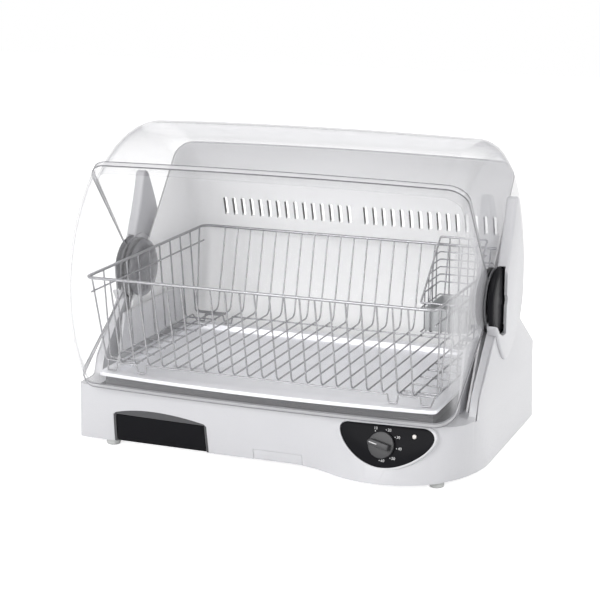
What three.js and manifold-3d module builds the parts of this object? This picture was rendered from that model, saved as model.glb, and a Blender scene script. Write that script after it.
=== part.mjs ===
// Countertop electric dish dryer, in millimetres. +Z is up and -Y is the front.
// It stands on its feet at z = 0.
// A drum-shaped hood of clear plastic opens up and back about one hinge axis, over a white base that holds
// the drip tray, the wire basket, the fan, the heater, the timer and the pull-out drain tank.
// Every piece is drawn with the hinge axis over y = 0; the whole dryer is then moved so that the origin is
// at the middle of its footprint.
import * as THREE from 'three';
import { mergeVertices } from 'three/addons/utils/BufferGeometryUtils.js';
import Module from 'manifold-3d';

const wasm = await Module();
wasm.setup();

// Clearances
const SEAT_GAP = 0.3; // between pieces that touch
const RUN_GAP = 0.8; // between pieces that slide past each other
const OVERRUN = 5; // how far a cut runs past the face it opens

// Drum and hood
const HINGE_HEIGHT = 203; // hinge axis above the worktop
const HOOD_RADIUS = 200; // front hood at its shoulders
const HOOD_CROWN = 3; // extra radius at mid width
const HOOD_HALF = 245; // hood side walls
const HOOD_CORNER = 25; // rounding between the drum and its side walls
const CLEAR_WALL = 2.2; // moulded clear wall
const LIP = 1.6; // stiffening lip along the hood's edges
const HOOD_TAB = 30; // radius of the hinge tab on the hood's side wall
const TAB_INSET = 0.4; // from both faces of that wall
const REAR_RADIUS = 196; // rear hood and back housing at their shoulders
const HOOD_STAND = 6; // the front hood's side walls stand out this far past theirs
const REAR_HALF = HOOD_HALF - HOOD_STAND;
const SEAM_HUB = 46; // radius of the back housing's hinge disc, which the rear hood fits round

// Angles about the hinge axis, from the front, upwards
const HOOD_LOW = -36;
const HOOD_TOP = 53.5;
const HOOD_OVERLAP = 4; // the rear hood runs this far under the front hood
const SEAM_ANGLE = 129.5; // where the rear hood meets the back housing
const BACK_END = 302; // front edge of the back housing's side plates
const LIP_ANGLE = 2.2;
const SECTOR_STEP = 30; // between the points of a sector's rim

// Back housing
const SHELL = 2.5; // moulded white wall
const HINGE_BOSS = 0.8; // how far the hinge discs stand in from the side plates
const VENT_COUNT = 15; // slots in each of two groups
const VENT_PITCH = 13.1;
const VENT_WIDTH = 4.2;
const VENT_HEIGHT = 25;
const VENT_RISE = 53.6; // middle of the slots above the hinge axis
const VENT_GAP = 24; // between the two groups

// Base
const FOOT_HEIGHT = 9;
const SHOULDER_GAP = 1.6; // between the shoulders and the hood between them
const SHOULDER_WALL = 13.4; // a shoulder's thickness at the bottom edge
const SHOULDER_INSIDE = HOOD_HALF + SHOULDER_GAP;
const BASE_HALF = SHOULDER_INSIDE + SHOULDER_WALL; // at the bottom edge
const BASE_DRAFT = 1.5; // each end leans in by this much up to the deck
const DECK_HEIGHT = 80; // top of the front edge
const BASE_TOP_HALF = BASE_HALF - BASE_DRAFT; // half width from the deck up
const BASE_REAR = 190; // rear face behind the hinge axis, at the bottom
const BASE_REAR_TOP = 188;
const REAR_CORNER = 34;
const BASE_FRONT = 141; // front face before the hinge axis, at the bottom
const BASE_FRONT_TOP = 156; // at the deck, where the face leans out under the hood
const FRONT_BOW = 15; // how far the deck's edge draws back at its ends
const PANEL_BULGE = 30; // how far the control panel's corner stands forward at the bottom
const FRONT_CORNER = 9;
const PANEL_CORNER = 70; // round corner under the bulge, at the bottom
const BULGE_START = 30; // the bulge grows from here
const BULGE_CREST = 150;
const BULGE_RETURN = 50; // the bulge's round corner ends here before the hinge axis
const SHOULDER_FOOT = 98; // front end of the shoulder's slope, before the hinge axis
const SHOULDER_DROP = 31; // from the hinge axis down to the shoulder's crest
const SHOULDER_TOP = HINGE_HEIGHT - SHOULDER_DROP;
const SHOULDER_FRONT_RUN = 74; // length of the front slope, level
const SHOULDER_NOSE = 24; // the slope starts with a steep nose of this height
const SHOULDER_NOSE_RUN = 8;
const SHOULDER_FILLET = 5; // where the slope runs out into the front edge
const REAR_SLOPE_END = 92; // height of the slope at the rear face
const REAR_SLOPE_SHARE = 0.66; // fall of the rear slope for each length
const SLOPE_WALL_SHARE = 1.3; // drop of the hollow's slopes for each wall

// Wing walls on each side of the drip tray
const WING_INSET = 14.6; // from the shoulders
const WING_OUTSIDE = SHOULDER_INSIDE - WING_INSET;
const WING_WALL = 4;
const WING_TOP = 157;
const WING_FRONT = 88;
const WING_REAR = 128;
const WING_BATTER = 23; // how far the ends lean in towards the top

// Tub under the drip tray
const TUB_INSET = 18; // from the wings
const TUB_HALF = WING_OUTSIDE - TUB_INSET;
const TUB_FRONT = 142;
const TUB_REAR = 121;
const TUB_FLOOR = 68;
const DRAIN_RADIUS = 7;
const DRAIN_X = -140;
const DRAIN_Y = -70;
const DRAIN_HOLES = 3; // small holes in the tray over it
const DRAIN_HOLE = 3.5;
const DRAIN_PITCH = 14;

// Hot air outlet in the deck
const OUTLET_HALF = 60;
const OUTLET_FRONT = 131;
const OUTLET_REAR = 147;
const OUTLET_BARS = 9;
const OUTLET_BAR = 2.4;

// Drip tray
const TRAY_LAP = 8; // the tray's flange laps over the tub's sides
const TRAY_HALF = TUB_HALF + TRAY_LAP;
const TRAY_FRONT = 154; // at the corners
const TRAY_BOW = 11; // further forward at mid width
const TRAY_REAR = 129;
const TRAY_TOP = 102;
const TRAY_FLOOR = 95;
const TRAY_SHEET = 1;
const TRAY_FLANGE = 15;
const TRAY_CORNER = 10;

// Seal round the tub, under the tray's flange
const SEAL_WALL = 1.8;
const SEAL_FOOT = 6; // how far its foot reaches out over the deck, at the front and rear
const SEAL_SIDE = 13.2; // and at the sides, nearly to the wings

// Wire basket
const RIM_WIRE = 2.1; // radius
const BAR_WIRE = 1.35;
const RIM_HEIGHT = 228;
const RIM_SPREAD = 4; // the rim is this much wider than the tray, on each side
const RIM_HALF = TRAY_HALF + RIM_SPREAD;
const RIM_FRONT = 171;
const RIM_REAR = 176;
const RIM_CORNER = 12;
const NET_HEIGHT = 108;
const NET_INSET = 19; // the floor is this much narrower than the rim, on each side
const NET_HALF = RIM_HALF - NET_INSET;
const NET_FRONT = 127;
const NET_REAR = 118;
const NET_CORNER = 8;
const HOOP_COUNT = 22; // wires that run down the front, along the floor and up the rear
const HOOP_TOP_INSET = 12; // the outer hoops stand in from the rim's ends
const HOOP_NET_INSET = 4; // and from the floor's
const HOOP_TOP_HALF = RIM_HALF - HOOP_TOP_INSET;
const HOOP_NET_HALF = NET_HALF - HOOP_NET_INSET;
const SIDE_BARS = 9;
const CROSS_BARS = 2;
const RAIL_HEIGHT = 208; // second rail below the rim
const NET_RING_DROP = 1.6; // the floor's ring lies this far under the hoops
const CROSS_DROP = 1.2; // and the cross bars this far
const RUNNER_HOOPS = 2.5; // the runners stand this many hoops in from the outer one

// Cutlery basket
const CUTLERY_WIDTH = 62;
const CUTLERY_INSET = 15; // from the wire basket's rim
const CUTLERY_RIGHT = RIM_HALF - CUTLERY_INSET;
const CUTLERY_LEFT = CUTLERY_RIGHT - CUTLERY_WIDTH;
const CUTLERY_FRONT = 12; // behind the hinge axis
const CUTLERY_REAR = 92;
const CUTLERY_BOTTOM = 150;
const CUTLERY_LOW = 188; // front rim
const CUTLERY_HIGH = 257; // rear rim
const CUTLERY_RIM = 1.3; // wire radii
const CUTLERY_WIRE = 0.9;
const CUTLERY_BEND = 2.7; // bend of its wires
const CUTLERY_BARS = 4;
const CUTLERY_SIDE_BARS = 4;
const CUTLERY_ROWS = 3;
const CUTLERY_HOOK = 8; // how far its hooks reach down outside the rim
const LINER_WALL = 1.5;
const LINER_HEIGHT = 31;

// Hinge
const PIN_RADIUS = 8;
const PIN_COLLAR = 13;
const PIN_REACH = 5; // into the inner cap
const PIN_HEAD = 1.6; // into the outer cap
const OUTER_CAP = 42;
const OUTER_CAP_SINK = 5.5; // its face lies this far inside the ear cover's
const INNER_CAP = 37.6;
const INNER_CAP_RISE = 9.5; // from the outside of the housing's side plates
const INNER_CAP_FACE = REAR_HALF - INNER_CAP_RISE;
const CAP_STEP = 2; // height of each ring on the inner cap's face
const CAP_RING = 8; // width of each ring

// Ear covers on the sides
const EAR_GAP = 2.8; // between the hood's side walls and the ear covers
const EAR_PROUD = 2; // they stand out this far past the base
const EAR_INSIDE = HOOD_HALF + EAR_GAP;
const EAR_OUTSIDE = BASE_HALF + EAR_PROUD;
const OUTER_CAP_FACE = EAR_OUTSIDE - OUTER_CAP_SINK;
const EAR_DISC = 2.2; // thickness behind the cap
const EAR_RISE = 124; // above the hinge axis
const EAR_DROP = 77;
const EAR_REAR = 87;
const EAR_FRONT = 36;

// Drain tank, front left
const BAY_END = 53; // from the base's left end
const BAY_WIDTH = 131;
const BAY_LEFT = -BASE_HALF + BAY_END;
const BAY_RIGHT = BAY_LEFT + BAY_WIDTH;
const BAY_SHOULDER = 48; // height of the bay's corners
const BAY_CREST = 55.5;
const BAY_FRAME = 3;
const BAY_CREST_SHARE = 0.42; // where the arch is highest
const TANK_TOP = 45.5;
const TANK_LENGTH = 150;
const TANK_WALL = 2;
const TANK_SILL = 10; // lower edge of the tank's front
const TANK_RAIL = 22; // top of the rails on each side of it
const TANK_RAIL_LEAD = 12; // the rails start this far behind the front

// Blind cover over the drain hose port
const PORT_LEFT = -14.5;
const PORT_RIGHT = 50.5;
const PORT_TOP = 23;

// Control panel
const PANEL_TILT = 18; // degrees from upright
const PANEL_ORIGIN_Y = 147; // the panel's plane at deck height, before the hinge axis
const PANEL_LEFT = 103;
const PANEL_WIDTH = 118;
const PANEL_HEAD = 2.6; // top edge below the deck, along the panel
const PANEL_HEIGHT = 52;
const PANEL_PLATE = 2.5;
const PANEL_RIM = 3.2; // white rim round the plate
const BOSS_DEPTH = 16;
const KNOB_X = 157.5;
const KNOB_DOWN = 27.7;
const KNOB_RADIUS = 16;
const KNOB_SKIRT = 5;
const KNOB_DRAFT = 1;
const KNOB_GRIP = 16;
const GRIP_WIDTH = 8;
const POINTER = 3.5;
const KNOB_REST = 77; // degrees left of the top
const LENS_X = 196.2;
const LENS_DOWN = 13.5;
const LENS_RADIUS = 2.6;
const LENS_PROUD = 0.8;
const SHAFT_RADIUS = 3;
const TIMER_WIDTH = 44;
const TIMER_HEIGHT = 34;
const TIMER_DEPTH = 26;

// Fan, heater and duct under the deck
const COVER_PLATE = 2.5;
const FAN_X = 150;
const FAN_Y = 95;
const FAN_RADIUS = 44;
const FAN_BLADES = 9;
const FAN_HEIGHT = 22;
const BLADE = 1.6;
const BLADE_DEPTH = 9;
const BLADE_ANGLE = 30;
const FAN_FLOOR = 36;
const MOTOR_RADIUS = 26;
const MOTOR_HEIGHT = 20;
const MOTOR_SHAFT = 4;
const SCROLL_RADIUS = 54;
const SCROLL_WALL = 2;
const SCROLL_FLOOR = 33;
const SCROLL_TOP = 64;
const DUCT_LEFT = -64;
const DUCT_FRONT = 92;
const DUCT_REAR = 150;
const HEATER_LEFT = 8;
const HEATER_RIGHT = 58;
const HEATER_FINS = 7;
const FIN = 1.5;
const INLET_RADIUS = 30;
const THERMOSTAT_X = 84;
const THERMOSTAT_Y = 139;
const THERMOSTAT_RADIUS = 8;
const THERMOSTAT_HEIGHT = 5;
const TERMINAL = 2.4;

// Intake filter and cord inlet in the rear face
const FILTER_X = 150;
const FILTER_WIDTH = 90;
const FILTER_LOW = 22;
const FILTER_HIGH = 58;
const FILTER_BARS = 10;
const FILTER_BAR = 2.2;
const FILTER_FRAME = 5;
const GLAND_X = -180;
const GLAND_HEIGHT = 30;
const GLAND_RADIUS = 8;
const GLAND_BORE = 4;
const GLAND_COLLAR = 3;

// Feet and cover screws
const FOOT_RADIUS = 10;
const FOOT_INSET = 43; // from the base's ends
const FOOT_X = BASE_HALF - FOOT_INSET;
const FOOT_FRONT = 126;
const FOOT_REAR = 160;
const FOOT_TAPER = 1.5;
const SCREW_INSET = 34; // from the base's ends
const SCREW_X = BASE_HALF - SCREW_INSET;
const SCREW_FRONT = 100;
const SCREW_REAR = 125;
const SCREW_RADIUS = 2;
const SCREW_HEAD = 4;
const SCREW_LENGTH = 14;
const SCREW_BOSS = 6;

// Facets
const DRUM_STEPS = 36;
const ROUND_STEPS = 18;
const SMALL_STEPS = 10;
const ARC_STEPS = 3;
const CURVE_STEPS = 4;
const CROWN_STEPS = 3;
const RIM_SIDES = 6; // of a rim's wire
const BAR_SIDES = 4; // of the other wires

// Outlines as shares of their piece's sizes. The first row is the start, and each row after it ends a line
// when it has two numbers, a quadratic curve when it has four and a cubic one when it has six.
const PANEL_SHARES = [
  [0, 0.22],
  [0, 0.1, 0.03, 0.05, 0.08, 0.04],
  [0.88, 0],
  [0.96, 0.02, 1, 0.12, 1, 0.23],
  [1, 0.5, 0.72, 1, 0.47, 1],
  [0.22, 1, 0.01, 0.5, 0, 0.22],
];
const EAR_SHARES = [
  [0.45, 0.97],
  [0.54, 1.02, 0.62, 0.93],
  [0.82, 0.66, 1, 0.4, 1, 0.1],
  [1.01, -0.2, 0.92, -0.44, 0.74, -0.62],
  [0.56, -0.8, 0.34, -0.98, 0.14, -1],
  [-0.1, -0.98, -0.72, -0.62, -1, -0.34],
  [-0.24, 0.1],
  [0.16, 0.4, 0.34, 0.7, 0.45, 0.97],
];

const REACH = BASE_HALF * 2; // past the whole dryer

const rad = THREE.MathUtils.degToRad;

// A solid for cutting and joining, from a closed geometry.
function solid(geometry) {
  const bare = geometry.index ? geometry.toNonIndexed() : geometry.clone();
  bare.deleteAttribute('normal');
  bare.deleteAttribute('uv');
  const merged = mergeVertices(bare);
  const points = merged.attributes.position;
  const faces = Uint32Array.from(merged.index.array);
  let volume = 0;
  const corner = [new THREE.Vector3(), new THREE.Vector3(), new THREE.Vector3()];
  for (let i = 0; i < faces.length; i += 3) {
    corner.forEach((point, k) => point.fromBufferAttribute(points, faces[i + k]));
    volume += corner[0].dot(corner[1].clone().cross(corner[2]));
  }
  if (volume < 0) faces.reverse();
  return new wasm.Manifold(new wasm.Mesh({
    numProp: 3,
    vertProperties: Float32Array.from(points.array),
    triVerts: faces,
  }));
}

// The geometry of a solid, with flat facets.
function geometryOf(body) {
  const mesh = body.getMesh();
  const geometry = new THREE.BufferGeometry();
  geometry.setAttribute('position', new THREE.BufferAttribute(Float32Array.from(mesh.vertProperties), 3));
  geometry.setIndex(new THREE.BufferAttribute(Uint32Array.from(mesh.triVerts), 1));
  const facets = geometry.toNonIndexed();
  facets.computeVertexNormals();
  return facets;
}

const join = (bodies) => bodies.reduce((all, body) => all.add(body));

const box = (x0, x1, y0, y1, z0, z1) => solid(new THREE.BoxGeometry(x1 - x0, y1 - y0, z1 - z0)
  .translate((x0 + x1) / 2, (y0 + y1) / 2, (z0 + z1) / 2));

const outline = (points) => new THREE.Shape(points.map(([u, v]) => new THREE.Vector2(u, v)));

const extruded = (shape, depth) => new THREE.ExtrudeGeometry(
  shape, { depth, bevelEnabled: false, curveSegments: CURVE_STEPS });

// An outline in y and z, run along X.
function alongX(shape, x0, x1) {
  const turn = new THREE.Matrix4().makeBasis(
    new THREE.Vector3(0, 1, 0), new THREE.Vector3(0, 0, 1), new THREE.Vector3(1, 0, 0));
  return solid(extruded(shape, x1 - x0).applyMatrix4(turn).translate(x0, 0, 0));
}

// An outline in x and z, run along Y.
function alongY(shape, y0, y1) {
  const turn = new THREE.Matrix4().makeBasis(
    new THREE.Vector3(1, 0, 0), new THREE.Vector3(0, 0, 1), new THREE.Vector3(0, -1, 0));
  return solid(extruded(shape, y1 - y0).applyMatrix4(turn).translate(0, y1, 0));
}

// An outline in x and y, run up Z.
const alongZ = (shape, z0, z1) => solid(extruded(shape, z1 - z0).translate(0, 0, z0));

const discZ = (radius, x, y, z0, z1, top = radius, steps = SMALL_STEPS) => solid(
  new THREE.CylinderGeometry(top, radius, z1 - z0, steps)
    .rotateX(Math.PI / 2).translate(x, y, (z0 + z1) / 2));

// A disc or a drum about the hinge axis.
const discX = (radius, x0, x1, steps = ROUND_STEPS) => solid(
  new THREE.CylinderGeometry(radius, radius, x1 - x0, steps)
    .rotateZ(-Math.PI / 2).translate((x0 + x1) / 2, 0, HINGE_HEIGHT));

const discY = (radius, x, z, y0, y1) => solid(
  new THREE.CylinderGeometry(radius, radius, y1 - y0, SMALL_STEPS).translate(x, (y0 + y1) / 2, z));

// A span across one side of the dryer, from its inside to its outside.
const bySide = (side, inside, outside) => (side > 0 ? [inside, outside] : [-outside, -inside]);

// A profile of [radius, x] points, turned about the hinge axis.
function turned(profile, steps) {
  const points = [...profile, profile[0]].map(([r, x]) => new THREE.Vector2(r, x));
  return solid(new THREE.LatheGeometry(points, steps).rotateZ(-Math.PI / 2).translate(0, 0, HINGE_HEIGHT));
}

// A sector about the hinge axis between two angles.
function wedge(low, high) {
  const count = Math.ceil((high - low) / SECTOR_STEP);
  const points = [[0, HINGE_HEIGHT]];
  for (let i = 0; i <= count; i += 1) {
    const angle = rad(low + (high - low) * i / count);
    points.push([-REACH * Math.cos(angle), HINGE_HEIGHT + REACH * Math.sin(angle)]);
  }
  return alongX(outline(points), -REACH, REACH);
}

// One line across the drum: in from the hub, round the corner, over the crown and back to the hub.
function drumLine(half, radius, corner, hub) {
  const points = [[hub, -half]];
  for (let i = 0; i <= ARC_STEPS; i += 1) {
    const angle = Math.PI / 2 * i / ARC_STEPS;
    points.push([radius - corner + corner * Math.sin(angle), -half + corner - corner * Math.cos(angle)]);
  }
  const flat = half - corner;
  for (let i = 1; i < CROWN_STEPS; i += 1) {
    const share = 2 * i / CROWN_STEPS - 1;
    points.push([radius + HOOD_CROWN * (1 - share * share), flat * share]);
  }
  const mirrored = points.slice(0, ARC_STEPS + 2).map(([r, x]) => [r, -x]).reverse();
  return points.concat(mirrored);
}

// A drum shell with its side walls, closed in section.
function drumShell(half, radius, wall, hub) {
  const outer = drumLine(half, radius, HOOD_CORNER, hub);
  const inner = drumLine(half - wall, radius - wall, HOOD_CORNER - wall, hub).reverse();
  return turned([...outer, ...inner], DRUM_STEPS);
}

// A skin over rings of points, each joined to the next. The lid's triangles close both ends; without a lid
// the last ring meets the first.
function skin(rings, lid) {
  const count = rings[0].length;
  const faces = [];
  for (let k = 0; k < rings.length - (lid ? 1 : 0); k += 1) {
    const next = (k + 1) % rings.length;
    for (let i = 0; i < count; i += 1) {
      const j = (i + 1) % count;
      const [a, b, c, d] = [k * count + i, k * count + j, next * count + j, next * count + i];
      faces.push(a, b, c, a, c, d);
    }
  }
  const last = (rings.length - 1) * count;
  if (lid) lid.forEach(([a, b, c]) => faces.push(a, c, b, last + a, last + b, last + c));
  const geometry = new THREE.BufferGeometry();
  geometry.setAttribute('position', new THREE.Float32BufferAttribute(rings.flat(2), 3));
  geometry.setIndex(faces);
  return solid(geometry);
}

const toward = (from, to) => to.clone().sub(from).normalize();

// A direction square to a route that lies in one plane, or to a straight one.
function squareTo(points) {
  const along = toward(points[0], points[1]);
  const across = along.clone().cross(toward(points[0], points[points.length - 1]));
  if (across.length() > Number.EPSILON) return across.normalize();
  const axis = Math.abs(along.x) < Math.abs(along.y) ? [1, 0, 0] : [0, 1, 0];
  return along.cross(new THREE.Vector3(...axis)).normalize();
}

// A wire along points in one plane, mitred where it bends.
// A closed one runs on from its last point to its first.
function wire(points, radius, sides = BAR_SIDES, closed = false) {
  const up = squareTo(closed ? points.slice(0, points.length / 2) : points);
  const rings = points.map((point, i) => {
    const before = points[i - 1] ?? (closed ? points[points.length - 1] : null);
    const after = points[i + 1] ?? (closed ? points[0] : null);
    const arriving = before ? toward(before, point) : toward(point, after);
    const leaving = after ? toward(point, after) : arriving;
    const along = arriving.clone().add(leaving).normalize();
    const out = along.clone().cross(up).divideScalar(along.dot(leaving));
    return Array.from({ length: sides }, (_, k) => {
      const angle = 2 * Math.PI * (k + 1 / 2) / sides;
      return point.clone().addScaledVector(out, radius * Math.cos(angle))
        .addScaledVector(up, radius * Math.sin(angle)).toArray();
    });
  });
  const lid = Array.from({ length: sides - 2 }, (_, k) => [0, k + 1, k + 2]);
  return skin(rings, closed ? null : lid);
}

// The corner points of a route, with each inner corner rounded in a few steps.
function rounded(corners, radius, steps = 1) {
  const points = [corners[0]];
  for (let i = 1; i < corners.length - 1; i += 1) {
    const before = corners[i - 1].clone().sub(corners[i]).normalize();
    const after = corners[i + 1].clone().sub(corners[i]).normalize();
    const bend = new THREE.QuadraticBezierCurve3(
      corners[i].clone().addScaledVector(before, radius), corners[i],
      corners[i].clone().addScaledVector(after, radius));
    points.push(...bend.getPoints(steps));
  }
  points.push(corners[corners.length - 1]);
  return points;
}

const at = (x, y, z) => new THREE.Vector3(x, y, z);

// A closed ring of wire with rounded corners.
function ring(corners, radius, bend, sides = BAR_SIDES) {
  const points = corners.flatMap((corner, i) => {
    const before = corners[(i + corners.length - 1) % corners.length];
    const after = corners[(i + 1) % corners.length];
    const start = corner.clone().addScaledVector(toward(corner, before), bend);
    const end = corner.clone().addScaledVector(toward(corner, after), bend);
    return new THREE.QuadraticBezierCurve3(start, corner, end).getPoints(ARC_STEPS);
  });
  return wire(points, radius, sides, true);
}

// A wire whose ends are welded to another: one more section near each end, where it comes out of that wire.
function welded(points, radius, reach) {
  const near = (from, to) => from.clone().addScaledVector(toward(from, to), reach);
  const last = points.length - 1;
  return wire([points[0], near(points[0], points[1]), ...points.slice(1, last),
    near(points[last], points[last - 1]), points[last]], radius);
}

const materials = {
  white: { color: 0xf4f5f6, roughness: 0.38, metalness: 0 },
  clear: { color: 0xe9edef, roughness: 0.06, metalness: 0, transparent: true, opacity: 0.25 },
  smoke: { color: 0x3a3b3e, roughness: 0.25, metalness: 0 },
  black: { color: 0x111214, roughness: 0.22, metalness: 0 },
  dark: { color: 0x26272a, roughness: 0.35, metalness: 0 },
  steel: { color: 0xc9cbcc, roughness: 0.3, metalness: 1 },
  wire: { color: 0xd2d3d4, roughness: 0.22, metalness: 1 },
  grey: { color: 0xb9bcbe, roughness: 0.5, metalness: 0 },
  rubber: { color: 0x8f9294, roughness: 0.8, metalness: 0 },
  lens: { color: 0xd9d4cc, roughness: 0.15, metalness: 0 },
};

const dryer = new THREE.Group();

function piece(name, body, finish, place = dryer) {
  const mesh = new THREE.Mesh(geometryOf(body), new THREE.MeshStandardMaterial(materials[finish]));
  mesh.name = name;
  place.add(mesh);
  return mesh;
}

// Base shell: its plan at the bottom edge and at the deck, drawn with the same run of curves.
function basePlan(top, inset) {
  const half = (top ? BASE_TOP_HALF : BASE_HALF) - inset;
  const rear = (top ? BASE_REAR_TOP : BASE_REAR) - inset;
  const front = (top ? BASE_FRONT_TOP : BASE_FRONT) - inset;
  const ends = (top ? BASE_FRONT_TOP - FRONT_BOW : BASE_FRONT) - inset;
  const crest = (top ? BASE_FRONT_TOP - FRONT_BOW / 2 : BASE_FRONT + PANEL_BULGE) - inset;
  const corner = top ? FRONT_CORNER : PANEL_CORNER;
  const plan = new THREE.Shape();
  plan.moveTo(half, rear - REAR_CORNER);
  plan.absarc(half - REAR_CORNER, rear - REAR_CORNER, REAR_CORNER, 0, Math.PI / 2);
  plan.lineTo(-half + REAR_CORNER, rear);
  plan.absarc(-half + REAR_CORNER, rear - REAR_CORNER, REAR_CORNER, Math.PI / 2, Math.PI);
  plan.lineTo(-half, -ends + FRONT_CORNER);
  plan.absarc(-half + FRONT_CORNER, -ends + FRONT_CORNER, FRONT_CORNER, Math.PI, Math.PI * 3 / 2);
  const bend = (half - FRONT_CORNER) / 3;
  plan.bezierCurveTo(-bend * 2, -(ends + front * 2) / 3, -bend, -front, BULGE_START, -front);
  const swell = (BULGE_CREST - BULGE_START) / 2;
  plan.bezierCurveTo(BULGE_START + swell, -front, BULGE_CREST - swell, -crest, BULGE_CREST, -crest);
  plan.bezierCurveTo(half - corner / 2, -crest, half, -crest + corner, half, -BULGE_RETURN);
  return plan.extractPoints(CURVE_STEPS).shape;
}

// A closed skin over a stack of plans.
// Each level has its height, and its share from the low plan to the high.
function loft(low, high, levels) {
  const rings = levels.map(([z, share]) => low.map((p, i) => [
    p.x + (high[i].x - p.x) * share, p.y + (high[i].y - p.y) * share, z]));
  return skin(rings, THREE.ShapeUtils.triangulateShape(low, []));
}

const CAVITY_TOP = DECK_HEIGHT - SHELL;
const COVER_TOP = FOOT_HEIGHT + COVER_PLATE + SEAT_GAP;
const TANK_FLOOR = COVER_TOP;
const TANK_LEFT = BAY_LEFT + BAY_FRAME + RUN_GAP;
const TANK_RIGHT = BAY_RIGHT - BAY_FRAME - RUN_GAP;
const TANK_NOSE = -BASE_FRONT + BAY_FRAME;

// The base's outer form without its slopes, drawn in by an inset, between two heights.
function baseBlock(inset, from, to) {
  const low = FOOT_HEIGHT - OVERRUN;
  const levels = [[low, (low - FOOT_HEIGHT) / (DECK_HEIGHT - FOOT_HEIGHT)], [DECK_HEIGHT, 1], [REACH, 1]];
  return loft(basePlan(false, inset), basePlan(true, inset), levels)
    .intersect(box(-REACH, REACH, -REACH, REACH, from, to));
}

// Side view of the base: level front edge, shoulder up to the hinge, long slope down to the rear.
// A drop moves the whole outline down, for the hollow below it, or up when it is negative.
function baseProfile(drop) {
  const front = -BASE_FRONT_TOP - PANEL_BULGE - OVERRUN;
  const rear = BASE_REAR + OVERRUN;
  const crestY = -SHOULDER_FOOT + SHOULDER_FRONT_RUN;
  const slopeY = BASE_REAR - (SHOULDER_TOP - REAR_SLOPE_END) / REAR_SLOPE_SHARE;
  const foot = -SHOULDER_FOOT - SHOULDER_FILLET;
  const profile = new THREE.Shape();
  profile.moveTo(front, FOOT_HEIGHT - OVERRUN);
  profile.lineTo(rear, FOOT_HEIGHT - OVERRUN);
  profile.lineTo(rear, REAR_SLOPE_END - drop);
  profile.lineTo(BASE_REAR, REAR_SLOPE_END - drop);
  profile.lineTo(slopeY, SHOULDER_TOP - drop);
  profile.lineTo(crestY, SHOULDER_TOP - drop);
  profile.lineTo(-SHOULDER_FOOT + SHOULDER_NOSE_RUN, DECK_HEIGHT + SHOULDER_NOSE - drop);
  profile.lineTo(-SHOULDER_FOOT, DECK_HEIGHT + SHOULDER_FILLET / 2 - drop);
  profile.quadraticCurveTo(foot, DECK_HEIGHT - drop, foot - SHOULDER_FILLET, DECK_HEIGHT - drop);
  profile.lineTo(front, DECK_HEIGHT - drop);
  profile.closePath();
  return profile;
}

// The whole outside of the base, drawn in by a wall or grown by a gap.
const baseForm = (inset, from = FOOT_HEIGHT) => baseBlock(inset, from, SHOULDER_TOP + OVERRUN)
  .intersect(alongX(baseProfile(inset * SLOPE_WALL_SHARE), -REACH, REACH));

// The space inside the drum above the deck, grown by a wall.
function drumSpace(grow) {
  const half = SHOULDER_INSIDE + grow;
  const floor = DECK_HEIGHT - grow;
  const ahead = box(-half, half, -REACH, 0, floor, HINGE_HEIGHT);
  const behind = discX(REAR_RADIUS + HOOD_CROWN + RUN_GAP + grow, -half, half, DRUM_STEPS)
    .intersect(box(-half, half, -OVERRUN, REACH, floor, REACH));
  return ahead.add(behind);
}

// The round seats for the hinge caps, through both shoulders.
const capSeats = (grow) => join([-1, 1].map((side) => discX(
  OUTER_CAP + grow, ...bySide(side, SHOULDER_INSIDE - OVERRUN, BASE_HALF + OVERRUN))));

// One disc at each of the four cover screws.
const atScrews = (radius, z0, z1) => join([-SCREW_X, SCREW_X].flatMap((x) => [-SCREW_FRONT, SCREW_REAR]
  .map((y) => discZ(radius, x, y, z0, z1))));

// The place of the port cover in the base's front edge.
const portSpace = (margin) => box(PORT_LEFT - margin, PORT_RIGHT + margin,
  -REACH, -BASE_FRONT + SHELL + margin, FOOT_HEIGHT - OVERRUN, PORT_TOP + margin);

// The panel's own place: u to the right, v up along its face, w out of it.
const panelTurn = new THREE.Matrix4()
  .makeRotationX(Math.PI / 2 - rad(PANEL_TILT))
  .setPosition(0, -PANEL_ORIGIN_Y, DECK_HEIGHT);
const onPanel = (body) => solid(geometryOf(body).applyMatrix4(panelTurn));

// A closed outline from a table of shares; place turns a pair of shares into a point.
function curved(shares, place) {
  const shape = new THREE.Shape();
  const [start, ...rows] = shares;
  shape.moveTo(...place(...start));
  for (const row of rows) {
    const points = [];
    for (let i = 0; i < row.length; i += 2) points.push(...place(row[i], row[i + 1]));
    if (row.length === 2) shape.lineTo(...points);
    if (row.length === 4) shape.quadraticCurveTo(...points);
    if (row.length === 6) shape.bezierCurveTo(...points);
  }
  return shape;
}

// Half-moon of the control panel, grown by a margin all round.
const panelShape = (margin) => curved(PANEL_SHARES, (u, v) => [
  PANEL_LEFT - margin + (PANEL_WIDTH + 2 * margin) * u,
  -PANEL_HEAD + margin - (PANEL_HEIGHT + 2 * margin) * v]);

// Side view of an ear cover: a leaf that narrows to the top and to a low tip.
const earShape = () => curved(EAR_SHARES, (y, z) => [
  y * (y > 0 ? EAR_REAR : EAR_FRONT), HINGE_HEIGHT + z * (z > 0 ? EAR_RISE : EAR_DROP)]);

// A hole through the panel and its boss, at the knob or the lens.
const panelHole = (radius, x, down) => onPanel(discZ(radius, x, -down, -BOSS_DEPTH * 2, OVERRUN));

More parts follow.
